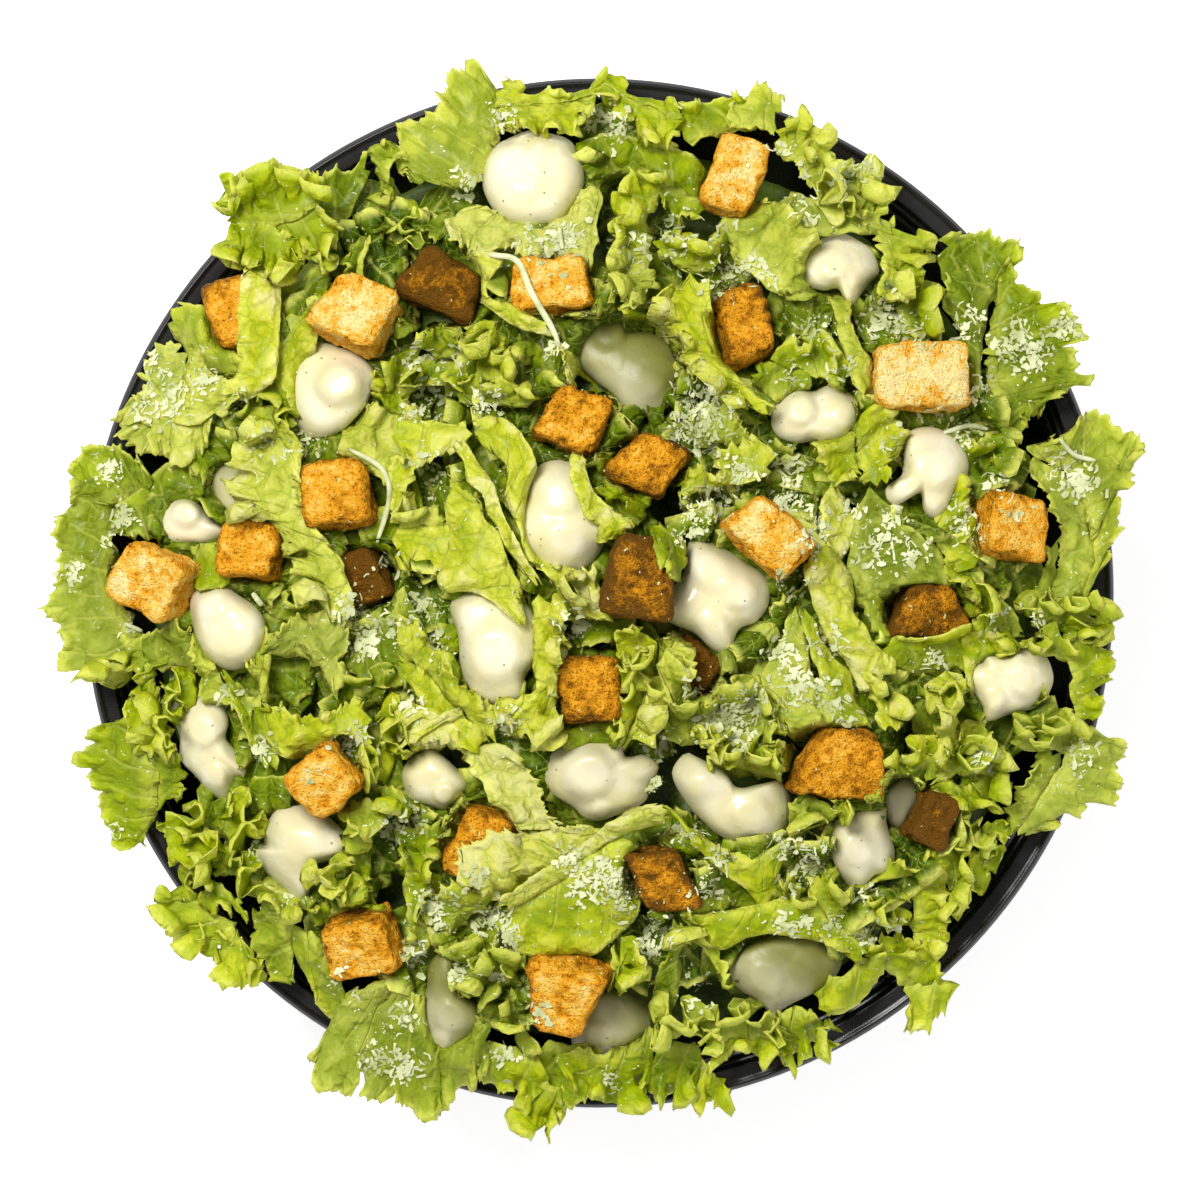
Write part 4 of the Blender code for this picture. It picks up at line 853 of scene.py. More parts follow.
    ("waved", 0.44, -2, -2, 1, "19 -53, 36 -55", "17 -63, 34 -63"),
    ("frilled", 0.58, 0, 1, 1, "-6 -89, 0 -91, 6 -89, 11 -85",
     "-9 -97, -1 -99.5, 3 -102.5, 8 -101, 10.5 -96"),
    ("frilled", 0.46, -1, 0, 1, "11 -89, 15 -88, 20 -90", "10 -98, 13 -102, 17 -99.5, 20 -96"),
    ("curly", 0.68, 0, 0, 0.8, "20 -91, 22 -94, 23 -96", "17.5 -97, 20 -102, 23 -102, 25 -98.5"),
    ("curly", 0.66, 1, 2, 0.8, "12 -90, 17 -87, 22 -88", "11 -86, 14 -81.5, 18 -83, 21 -85.5, 20 -90"),
    ("curly", 0.64, 1, 2, 0.8, "22 -90, 28 -88, 36 -89", "20 -86, 24 -83, 28 -80.5, 31 -83, 34 -86, 38 -87"),
    ("curly", 0.66, 0, 0, 0.8, "22 -88, 28 -87, 36 -88",
     "22 -94, 25 -92.5, 28 -90, 32 -92.5, 36 -90, 39 -90"),
    ("frilled", 0.6, 0, 0, 1, "35 -83, 40 -82, 44 -84", "35 -90, 38 -94.5, 41 -92, 43 -90, 46.5 -90, 46 -85"),
    ("broad", 0.62, 0, 1, 1.2, "-24 -89, -18 -90, -12 -92", "-26.5 -97.5, -20 -98.5, -15 -100, -11 -99.5"),
    ("frilled", 0.7, 1, 0, 0.8, "-12 -94, -9.5 -97, -6 -99",
     "-15.5 -98, -14 -103, -16 -107, -12 -107, -9 -105, -5.5 -102.5"),
    ("waved", 0.42, -2, -1, 1, "-14 -90, -6 -89, 2 -91", "-12 -99, -6 -101.5, 0 -101"),
    # lower right
    ("curly", 0.6, 3, 4, 0.6, "48 -42, 52 -39, 55 -38",
     "45 -43, 47 -37, 52 -36.5, 57 -37, 57 -41", "dressing_18"),
    ("curly", 0.5, 0, 1, 0.6, "37 -42, 42 -39", "38 -48, 42 -46, 46 -43"),
    ("frilled", 0.58, 1, 1, 0.8, "37 -64, 42 -64, 48 -64", "35 -55, 39 -59, 43 -58.5, 46 -56, 49 -61"),
    ("plain", 0.6, 1, 2, 0.8, "50 -63, 54 -69", "47 -62.5, 43 -66, 45 -69.5, 51 -71.5"),
    ("curly", 0.5, 0, 1, 0.6, "54 -66, 57 -63", "51 -62, 55 -59.5, 59 -63, 58 -68"),
    ("waved", 0.58, 1, 2, 0.8, "51 -59, 56 -57, 63 -56, 69 -57, 71 -60",
     "53 -54.5, 57 -53, 64 -53.5, 66 -49, 68 -44, 71 -42"),
    ("frilled", 0.62, 1, 2, 0.6, "69 -58, 71 -60", "69 -52, 73 -52, 74.5 -56, 72 -61"),
    ("curly", 0.62, 0, 1, 0.8, "67 -36, 72 -38, 76 -36",
     "65.5 -41, 69 -43, 72 -43, 76 -42.5, 79.5 -42, 80 -37"),
    ("curly", 0.62, 0, 1, 0.6, "71 -50, 75 -49", "69.5 -47, 72 -44.5, 74 -47, 76.5 -45"),
    ("frilled", 0.56, 0, 0, 0.6, "76.5 -46, 76.5 -52", "80 -46, 79.5 -50, 79 -54, 76 -56.5"),
    ("broad", 0.6, 2, 1, 1.5, "83 -47, 88 -39, 92 -33, 95 -28",
     "87 -47.5, 92 -45, 97 -42.5, 102 -42, 104 -38, 103.5 -34, 105 -31, 100 -27"),
    ("broad", 0.56, 2, 0, 1, "83 -47, 88 -39, 92 -33", "80.5 -47, 81 -43, 84 -37, 87 -31"),
    ("frilled", 0.7, 1, 1, 0.8, "61 -58, 62 -64, 62 -70",
     "66 -57.5, 69 -60, 72.5 -61, 69 -66, 68 -70, 64 -71"),
    ("waved", 0.56, 0, 1, 0.8, "54 -73, 60 -75, 66 -74", "53 -70, 57 -68, 62 -69, 67 -69"),
    ("plain", 0.66, 0, 0, 1, "43 -78, 50 -74, 57 -70", "43 -83.5, 49 -83, 54 -80, 56 -75"),
    ("torn", 0.76, 1, 0, 0.8, "61 -78, 66 -77, 71 -77.5", "62 -83, 61 -87, 65 -86.5, 68 -84, 70 -80"),
    ("waved", 0.62, 0, 0, 1, "57 -74, 61 -79, 66 -78", "60 -70, 65 -71, 67.5 -76"),
)

for number, (kind, tone, low, high, belly, base, margin, *over) in enumerate(TOP_LEAVES):
    group = f"leaves_{kind}"
    add_leaf(group, places(base), places(margin), (low, high), belly, kind, tone, 100 + number, over)

# The filling leaves, in millimetres: how far out their middles lie and how far out any place on
# them may come, half their length, their width, how deep below the heap's level they lie, and how
# dark they are, which is painted shade for lying deep.
FILLER_COUNT = 110
FILLER_SPREAD = 78
FILLER_REACH = 88.0
FILLER_LENGTH = (12, 19)
FILLER_WIDTH = (9, 14)
FILLER_DEPTH = (5, 12)
FILLER_TONE = (-0.04, 0.26)
FILLER_BELLY = 2.0
FILLER_DETAIL = 0.62
STATIONS = np.array((-1, -0.3, 0.4, 1))[:, None]


def add_filler(generator, number):
    """A leaf deeper in the heap: a cut side and a frilled margin on either hand of it."""
    bearing = generator.uniform(0, 2 * np.pi)
    reach = FILLER_SPREAD * np.sqrt(generator.uniform(0, 1))
    turn = generator.uniform(0, 2 * np.pi)
    long, wide = generator.uniform(*FILLER_LENGTH), generator.uniform(*FILLER_WIDTH)
    centre = reach * np.array((np.cos(bearing), np.sin(bearing)))
    ahead = np.array((np.cos(turn), np.sin(turn)))
    aside = np.array((-ahead[1], ahead[0]))
    base = centre + ahead * long * STATIONS - aside * 0.3 * wide * STATIONS * STATIONS
    margin = centre + ahead * long * 1.15 * STATIONS
    margin = margin + aside * wide * (1.2 - 0.5 * STATIONS * STATIONS)
    depth = generator.uniform(*FILLER_DEPTH) * (1 if reach < 70 else 0.7)
    lifts = (-depth, -depth + generator.uniform(-2, 3))
    base, margin = (
        path * np.minimum(1, FILLER_REACH / np.hypot(*path.T))[:, None] for path in (base, margin)
    )
    kind = ("frilled", "curly", "waved")[number % 3]
    tone, seed = generator.uniform(*FILLER_TONE), 900 + number
    add_leaf("leaves_under", base, margin, lifts, FILLER_BELLY, kind, tone, seed, fine=FILLER_DETAIL)


generator = np.random.default_rng(12)
for number in range(FILLER_COUNT):
    add_filler(generator, number)

leaf_pieces = [join_leaves(group, leaf.material) for group in PIECES]
for leaves in leaf_pieces:
    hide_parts("lettuce")

# The middle of the heap, where single leaves cannot be made out: crumpled leaf, coloured
# near-black green as painted shade, that fills the bowl up to a finger's breadth below the top ones.
CORE_DEPTH = 10 * MM
CRUMPLE_SIZE = 9 * MM
CRUMPLE_DEPTH = 7 * MM
CRUMPLE_EDGE = 6 * MM
CORE_RADIUS = 90 * MM
CORE_RINGS = 46
CORE_SEGMENTS = 150
LINING_RINGS = 24
CORE_GAP = 0.6 * MM
CORE_EDGE = 16 * MM
CORE_EDGE_DROP = 13 * MM


def core_profile():
    """Radius and height down the core: its dome from the middle out, then its underside."""
    radius = np.linspace(0, CORE_RADIUS, CORE_RINGS)
    edge = (radius - CORE_RADIUS + CORE_EDGE) / CORE_EDGE
    dome = heap_level(radius, 0) - CORE_DEPTH - CORE_EDGE_DROP * eased(edge)
    low = np.linspace(CORE_RADIUS, 0, LINING_RINGS)
    lining = np.interp(low, skin[:, 0], np.maximum.accumulate(skin[:, 1])) + CORE_GAP
    return np.vstack((np.column_stack((radius, dome)), np.column_stack((low, lining))[1:]))


points, faces = turned(core_profile(), CORE_SEGMENTS)
crumple = np.abs(lattice_noise(points, CRUMPLE_SIZE, 31))
crumple = crumple + 0.5 * np.abs(lattice_noise(points, 4 * MM, 32))
top = slice(0, CORE_RINGS * CORE_SEGMENTS)
inside = np.clip((CORE_RADIUS - np.hypot(*points[top, :2].T)) / CRUMPLE_EDGE, 0, 1)
points[top, 2] -= (CRUMPLE_DEPTH * (0.9 - crumple[top])) * inside
# Painted shade: the core's leaf colour is a near-black green.
deep = Finish("shaded_leaf")
where = deep.place()
blotch = deep.noise(where, 7 * MM, 4, 0.6)
shaded_leaf = deep.finish(
    Base_Color=deep.blend(blotch.rise(0.35, 0.65), (0.02, 0.045, 0.002), (0.10, 0.16, 0.008)),
    Roughness=0.5,
    Normal=deep.bump(blotch, 0.0012),
)
core = add_piece("heap_core", points, faces, shaded_leaf, weld=True)
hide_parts("lettuce")

# ---------------------------------------------------------------------------------------------
# Croutons. White bread cut by hand into cubes and fried in oil: a pale, open crumb that has
# browned at the edges, coloured darker in its pores and on its sides than on its top.

# How brown each crouton is, from 0 for pale crumb to above 1 for dark crust, with darker values as painted
# shade for the croutons that lie in shadow.
TOAST_AND_SHADE = (
    0.26, 0.58, 0.22, 1.10, 0.36, 0.65, 0.12, 0.55, 0.66, 0.30, 0.52, 0.50, 0.25,
    1.15, 1.00, 0.40, 0.95, 0.70, 1.15, 0.60, 0.34, 0.58, 0.85, 1.15, 0.45, 0.42,
)
GRAIN_STEP = 0.5 * MM
EDGE_ROUNDS = 7
UNEVEN_SIZE, UNEVEN_DEPTH = 4.6 * MM, 0.7 * MM
ROUGH_SIZE, ROUGH_DEPTH = 1.9 * MM, 0.36 * MM
PORE_SIZE, PORE_DEPTH = 1.3 * MM, 0.6 * MM


def merged_copy(name):
    """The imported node's surface as a new mesh whose triangles share their corners."""
    work = bmesh.new()
    work.from_mesh(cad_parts[name].data)
    bmesh.ops.remove_doubles(work, verts=work.verts, dist=1e-6)
    bmesh.ops.recalc_face_normals(work, faces=work.faces)
    mesh = bpy.data.meshes.new(name + "_surface")
    work.to_mesh(mesh)
    work.free()
    return mesh


def refined(mesh, kind, **settings):
    """A mesh with one modifier applied."""
    carrier = bpy.data.objects.new("carrier", mesh)
    bpy.context.scene.collection.objects.link(carrier)
    modifier = carrier.modifiers.new("refine", kind)
    for key, value in settings.items():
        setattr(modifier, key, value)
    graph = bpy.context.evaluated_depsgraph_get()
    made = bpy.data.meshes.new_from_object(carrier.evaluated_get(graph))
    bpy.data.objects.remove(carrier)
    return made


def vertex_arrays(mesh):
    """Places and normals of a mesh's vertices."""
    points, normals = np.empty(3 * len(mesh.vertices)), np.empty(3 * len(mesh.vertices))
    mesh.vertices.foreach_get("co", points)
    mesh.vertex_normals.foreach_get("vector", normals)
    return points.reshape(-1, 3), normals.reshape(-1, 3)


def edge_share(mesh, normals, rounds):
    """How near each point is to an edge of its crouton: how short its normal gets when it is
    averaged with its neighbours' this many times."""
    ends = np.empty(2 * len(mesh.edges), np.int32)
    mesh.edges.foreach_get("vertices", ends)
    first, second = ends[::2], ends[1::2]
    both = np.concatenate((first, second))
    other = np.concatenate((second, first))
    count = 1 + np.bincount(both, minlength=len(normals))[:, None]
    for _ in range(rounds):
        sums = [np.bincount(both, normals[other, axis], len(normals)) for axis in range(3)]
        normals = (normals + np.stack(sums, axis=1)) / count
    return 1 - np.linalg.norm(normals, axis=1)


bread = Finish("toasted_bread")
where = bread.place()
toast, pore = bread.attribute("toast"), bread.attribute("pore")
patch = bread.noise(where, 4.5 * MM, 3, 0.6)
crumb = bread.noise(where, 0.9 * MM, 3, 0.65)
fleck = bread.noise(where, 0.45 * MM, 2)
browning_and_shade = toast + 1.15 * (patch - 0.5) + 0.85 * (crumb - 0.5) + 0.24 * pore
browning_and_shade = browning_and_shade + 0.22 * fleck.rise(0.56, 0.7)
colour = bread.node("ShaderNodeValToRGB", {"stops": (
    (0.0, (0.98, 0.78, 0.32)), (0.22, (0.95, 0.57, 0.09)), (0.45, (0.87, 0.38, 0.014)),
    (0.7, (0.52, 0.205, 0.003)), (1.0, (0.15, 0.062, 0.001)),
)}, {0: browning_and_shade})
toasted_bread = bread.finish(
    Base_Color=colour,
    Roughness=0.62 + 0.2 * crumb,
    Specular_IOR_Level=0.16,
    Normal=bread.bump(crumb + 0.6 * fleck, 0.0009),
)
croutons = []
for number, toast_and_shade_value in enumerate(TOAST_AND_SHADE, start=1):
    name = f"crouton_{number:02d}"
    mesh = refined(merged_copy(name), "REMESH", mode="VOXEL", voxel_size=GRAIN_STEP)
    points, normals = vertex_arrays(mesh)
    edge = edge_share(mesh, normals, EDGE_ROUNDS)
    uneven = UNEVEN_DEPTH * lattice_noise(points, UNEVEN_SIZE, 50 + number)
    hole = np.clip((lattice_noise(points, PORE_SIZE, 80 + number) - 0.2) / 0.5, 0, 1)
    rough = ROUGH_DEPTH * lattice_noise(points, ROUGH_SIZE, 110 + number)
    points += normals * (uneven + rough - PORE_DEPTH * hole)[:, None]
    mesh.vertices.foreach_set("co", points.ravel())
    sideways = 1 - np.clip(normals[:, 2], 0, 1)
    # The colour value: the crouton's entry, which holds browning and painted shade, raised on the sides and
    # at the edges.
    set_values(mesh, pore=hole, toast=toast_and_shade_value + 0.3 * sideways + 1.4 * edge - 0.13)
    piece = show(mesh, f"{name}_bread", toasted_bread)
    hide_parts(name)
    croutons.append(piece)

# ---------------------------------------------------------------------------------------------
# Dressing. A thick white dressing of cheese, oil and egg yolk with ground black pepper, put on
# in spoonfuls that round off and run a little way down the leaves.

# Each spoonful seen from above, in millimetres: its outline, how much painted shade it gets for
# lying deep in the heap, and its smaller mounds as middle, radius and height.
SPOONFULS = (
    ("0 10, 6.2 9, 9.7 5, 10.2 -0.6, 8 -5.6, 3.8 -8.6, -1.9 -9.2, -6.9 -6.9, -9.7 -2.5, -10 2.5, "
     "-7.8 6.9, -4.4 9", 0, ((-2, 1, 6, 0.6),)),
    ("-5 8.4, 0 8.3, 5 6.6, 8.1 3.8, 8.8 0.6, 6.9 -3.8, 3.1 -8.1, -1.3 -10, -5 -9.4, -7.5 -5, -8.1 0, "
     "-7.5 5", 0.05, ((1.4, 1.4, 5.5, 2.2),)),
    ("-7.5 9.4, -4.4 10, -1.2 8.8, 0.6 5.6, 5.6 5.3, 9.4 2.5, 11.6 -1.9, 10.6 -6.9, 8.1 -10, 3.8 -11.9, "
     "0 -10, -2.4 -6.9, -5.6 -4.4, -10 0, -10.6 4.4, -8.8 7.5", 1.3, ((-4, 6, 4, 1.2), (5, -2, 6, 0.8))),
    ("-8.4 -1.2, -6.9 1.9, -3.8 4.4, 0 5.6, 3.1 4.4, 6.2 1.9, 7.8 -1.9, 5.6 -4.4, 2 -9, -0.5 -5.5, "
     "-3.8 -5.9, -7.5 -4.4", 0, ((-1, 1, 4, 1.2), (4, -1, 3, 0.6))),
    ("-9 -0.9, -6.9 3.1, -3.8 5, -0.6 4.4, 2.5 5.3, 6.2 4, 9.4 1.2, 9 -1.2, 6.2 -4.4, 2.5 -5.6, "
     "-1.2 -5.6, -4.4 -5.9, -7.5 -4.4", 0.1, ((-3.5, 1, 4, 1.6), (5.5, 0, 4, 1.2))),
    ("-3.8 6.9, 0 8.1, 4.4 6.9, 7.5 3.1, 8.1 -0.6, 6.2 -4.4, 4.4 -8.1, 1.9 -10.3, -0.6 -8.8, -1.5 -5, "
     "-5.6 -7.6, -7.8 -6.6, -8.1 -3.8, -5 -1.2, -4.4 3.1", 0, ((1.5, 1, 5.5, 1.6),)),
    ("-5 9.4, -1.2 11.2, 2.5 10.3, 5.6 6.2, 8.1 0, 9 -3.8, 6.9 -8.1, 3.8 -10.6, -0.6 -10.9, -5.6 -8.1, "
     "-8.1 -5.6, -8.8 -1.2, -6.9 3.8", 0.1, ((0, 4, 5, 1), (1, -5, 5.5, 0.9))),
    ("-8.1 1.2, -9.4 7.5, -5 10, 0 9.4, 5 7.5, 8.1 3.1, 8.1 -3.1, 5.6 -6.9, 5 -11.2, 0.6 -12.5, -5 -10.6, "
     "-7.5 -5.6", 0, ((0, -1, 7.5, 2.6),)),
    ("-5.6 10.6, -3.1 11.6, 0.6 10.3, 5.6 6.9, 10 3.8, 10.6 -0.6, 8.1 -4.4, 4.4 -6.2, 3.1 -11.2, "
     "-0.6 -10.6, -4.4 -6.9, -9.4 -5, -11.9 -2.5, -10 0.6, -6.9 4.4",
     0.08, ((0, 5, 5, 0.8), (5, 1, 4.5, 1), (0, -6, 4, 0.6))),
    ("-3.1 -0.3, -2.5 2.5, 0 4.7, 3.1 4.4, 3.8 1.2, 3.1 -3.1, 2.5 -6.2, 0 -5.9, -1.9 -3.8", 0.7, ()),
    ("-6.2 0.6, -5 3.8, -2.5 4.7, 1.2 4, 5 0, 8.1 -2.2, 5 -4.4, 1.2 -5, -3.8 -4.7, -6.2 -2.8",
     0.15, ((-1, 1.5, 3.5, 1.4),)),
    ("-7.5 2.5, -6.9 6.2, -4.4 8.1, -0.6 8.1, 3.1 5.6, 6.9 2.2, 7.8 -1.9, 6.2 -6.2, 3.1 -8.4, -0.6 -8.4, "
     "-4.4 -5.6, -6.2 -1.9", 0, ((-3, 4, 4, 0.8), (2, -3, 5, 0.8))),
    ("-6.9 4.4, -5 7.5, -0.6 8.1, 3.8 6.2, 5 2.5, 4.4 -1.2, 8.1 -7.5, 5.6 -8.8, 4.4 -13.1, 0.6 -11.9, "
     "-1.2 -8.8, -4.7 -5, -5 -0.6", 0.12, ((-1, 3.5, 4.5, 1.4), (2, -6, 3, 0.8))),
    ("-7.5 2.5, -5 6.6, 0 7.5, 5 5.3, 8.8 1.9, 9.4 -1.2, 6.2 -3.1, 2.5 -4.4, 1.9 -8.1, -0.3 -11.9, "
     "-3.8 -8.8, -8.1 -5, -10 -1.6, -7.8 -0.6", 0.1, ((0, 2, 6, 1.2),)),
    ("-5.6 -0.6, -4.4 2.5, -0.6 5, 3.8 2.5, 7.5 -1.9, 5.6 -5, 3.1 -6.9, 0 -6.2, -3.8 -5",
     0.2, ((2, -3, 3, 1.2),)),
    ("-9.7 0, -8.1 3.8, -4.4 6.2, 0 6.6, 5 5.6, 6.5 3.1, 10 3.8, 13 1.2, 11.2 -1.9, 10 -5.6, 3.8 -8.8, "
     "0.6 -9.7, -1.6 -9, -3.8 -6.9, -8.1 -3.8", 0.32, ((-2.6, 1.4, 6, 2.2), (0, -6, 2.5, 0.8))),
    ("-12.8 4.4, -10 8.8, -6.9 7.5, -2.5 5, 0 2, 4.4 2.4, 8.8 3.1, 10.6 -1.2, 10 -5.6, 6.2 -8.8, "
     "1.2 -9.4, -4.4 -6.9, -9.4 -1.2", 0.3, ((-7, 3, 4, 1), (4, -3, 5, 1.2))),
    ("-5.6 4.4, -2.5 6.6, 1.9 7.5, 4.7 7.5, 5 4.4, 6.6 -1.2, 5.6 -5.6, 2.5 -6.2, -0.3 -9.4, -4.4 -5.6, "
     "-6.2 -1.2, -6.2 1.9", 0.3, ((-1, 0, 4.5, 1),)),
    ("-5 0.6, -2.5 3.4, 0.6 4, 2.2 1.2, 0.9 -3.1, -1.2 -6.9, -4 -6.2, -5 -3.1", 0.5, ()),
    ("-5 5.6, 0 5, 2.5 6.9, 6.9 5.6, 8.8 1.2, 7.5 -3.1, 4.4 -5.6, 0 -6.6, -4.4 -7.8, -5.3 -4.4, -8.8 0.6, "
     "-7.5 3.1, -5.6 3.8", 0, ((3, 1, 4.5, 1.6), (-3, -3, 3, 0.8))),
    ("-10.6 -0.6, -9.4 2.5, -5.6 4.7, -1.2 6.2, 3.8 6.6, 8.8 5, 11.9 1.2, 10.6 -2.5, 6.2 -5.6, 1.2 -8.1, "
     "-1.9 -9.7, -5 -6.9, -8.8 -4.4", 1.15, ((-4, -1, 5, 1.2), (4, 1, 4, 0.6))),
    ("-5 5, -4.7 9.4, -2.5 11.9, 0 11.2, 1.2 5, 5.6 0, 5.6 -3.8, 1.2 -6.9, 0 -9.4, -1.9 -10.3, -3.8 -8.8, "
     "-5.6 -4.4, -6.2 0.6", 1.1, ((0, -2, 4, 1.2), (-2, -7, 2.5, 0.9))),
    ("-5 5.6, 0 6.2, 5 4.4, 7.5 1.2, 7.5 -1.9, 3.8 -5, -1.2 -6.9, -5 -7.2, -8.8 -5, -8.1 -1.2, -6.2 1.9",
     0.85, ((-3, -3, 4, 0.8),)),
)
SPOONFUL_RINGS = 18
SPOONFUL_SEGMENTS = 72
EDGE_SHARE = 0.30
UNEVENNESS = 0.35 * MM


def spoonful(low, high, outline, dull, mounds, seed):
    """A pillow of thick cream: rings shrink from its outline to the middle of its top and of its
    underside. Its top is (1 - s^3.6)^0.75 high at a share s of the way out, with smaller mounds."""
    outline = places(outline) * MM
    outline -= (outline.max(axis=0) + outline.min(axis=0)) / 2
    closed = smooth_path(np.vstack((outline[-2:], outline, outline[:3])), 12 * (len(outline) + 4))
    middle = outline.mean(axis=0)
    angles = np.unwrap(np.arctan2(*(closed - middle).T[::-1]))
    reach = np.hypot(*(closed - middle).T)
    order = np.argsort(angles)
    turn = np.linspace(0, 2 * np.pi, SPOONFUL_SEGMENTS, endpoint=False)
    reach = np.interp(turn, angles[order], reach[order], period=2 * np.pi)
    out = np.sin(np.linspace(0, np.pi / 2, SPOONFUL_RINGS))
    share = np.concatenate((out, out[-2::-1]))[:, None]
    top = np.arange(2 * SPOONFUL_RINGS - 1)[:, None] < SPOONFUL_RINGS
    x = middle[0] + share * reach * np.cos(turn)
    y = middle[1] + share * reach * np.sin(turn)
    highest = max((mound[3] for mound in mounds), default=0) * MM
    edge = low.z + EDGE_SHARE * (high.z - low.z)
    dome = (0.86 * (high.z - edge) - highest) * np.maximum(1 - share**3.6, 0) ** 0.75
    for place_x, place_y, radius, height in mounds:
        away = np.hypot(x - place_x * MM, y - place_y * MM) / (radius * MM)
        dome = dome + height * MM * (1 - eased((away - 0.45) / 0.6))
    dome = dome * np.minimum(1, 3 * (1 - share) + (share < 1))
    keel = (edge - low.z) * np.maximum(1 - share**2, 0) ** 0.5
    z = np.where(top, edge + dome, edge - keel)
    centre = (low + high) / 2
    x, y = x + centre.x, y + centre.y
    z = z + heap_level(x, y) - heap_level(centre.x, centre.y)
    points = np.stack((x, y, z), axis=-1).reshape(-1, 3)
    uneven = [lattice_noise(points, 4.5 * MM, seed + axis) for axis in range(3)]
    points += UNEVENNESS * np.stack(uneven, axis=1)
    patchy = 0.5 + 0.5 * lattice_noise(points, 7 * MM, seed).reshape(z.shape)
    thin = eased((share - 0.62) / 0.38) * patchy
    # Painted light: how far each point lies towards the lower left (-x, -y) of its spoonful; that end keeps
    # less painted shade, as if lit.
    clear = eased(0.5 - 0.6 * (0.5 * (x - centre.x) + 0.86 * (y - centre.y)) / reach.mean())
    faces = grid_faces(2 * SPOONFUL_RINGS - 1, SPOONFUL_SEGMENTS, wrap_columns=True)
    # Painted shade of each point: the spoonful's own amount, less at its lit end, and more near the outline,
    # partly for the leaf seen through the thin edge and partly as painted shade.
    shade = dull * (1 - 0.6 * clear) + (0.6 - 0.4 * min(dull, 1)) * thin
    return points, faces, shade.ravel()


cream = Finish("creamy_dressing")
where = cream.place()
shade = cream.attribute("shade")
swirl = cream.noise(where, 8 * MM, 2)
curd = cream.noise(where, 1.6 * MM, 2)
grounds = {"Vector": where, "Scale": 1 / (2.6 * MM)}
speck = cream.node("ShaderNodeTexVoronoi", None, grounds)
chance = cream.node("ShaderNodeTexVoronoi", None, grounds, output="Color")
chosen = cream.node("ShaderNodeSeparateColor", None, {0: chance}).rise(0.55, 0.58)
pepper = speck.rise(0.11, 0.06) * chosen
lit = cream.blend(swirl.rise(0.3, 0.7), (0.83, 0.765, 0.55), (0.77, 0.69, 0.385))
# Painted shade: the cream is blended towards a dark olive as its shade value rises.
dim = cream.blend(shade, lit, (0.20, 0.20, 0.04))
creamy_dressing = cream.finish(
    Base_Color=cream.blend(pepper * 0.8, dim, (0.10, 0.09, 0.05)),
    Roughness=0.22 + 0.14 * curd + 0.2 * shade,
    Specular_IOR_Level=0.5,
    Coat_Weight=0.25 * shade.rise(0.8, 0.1),
    Coat_Roughness=0.1,
    Normal=cream.bump(curd + 2 * swirl, 0.00012),
)
dollops = []
for number, (outline, dull, mounds) in enumerate(SPOONFULS, start=1):
    node = f"dressing_{number:02d}"
    points, faces, shade = spoonful(*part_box(node), outline, dull, mounds, 150 + 3 * number)
    piece = add_piece(f"{node}_spoonful", points, faces, creamy_dressing, weld=True, shade=shade)
    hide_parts(node)
    dollops.append(piece)

# ---------------------------------------------------------------------------------------------
# Cheese. Hard, pale cheese grated over the salad: fluffy heaps of short shreds, a dust of fine
# crumbs over everything, and a few long curled strips.

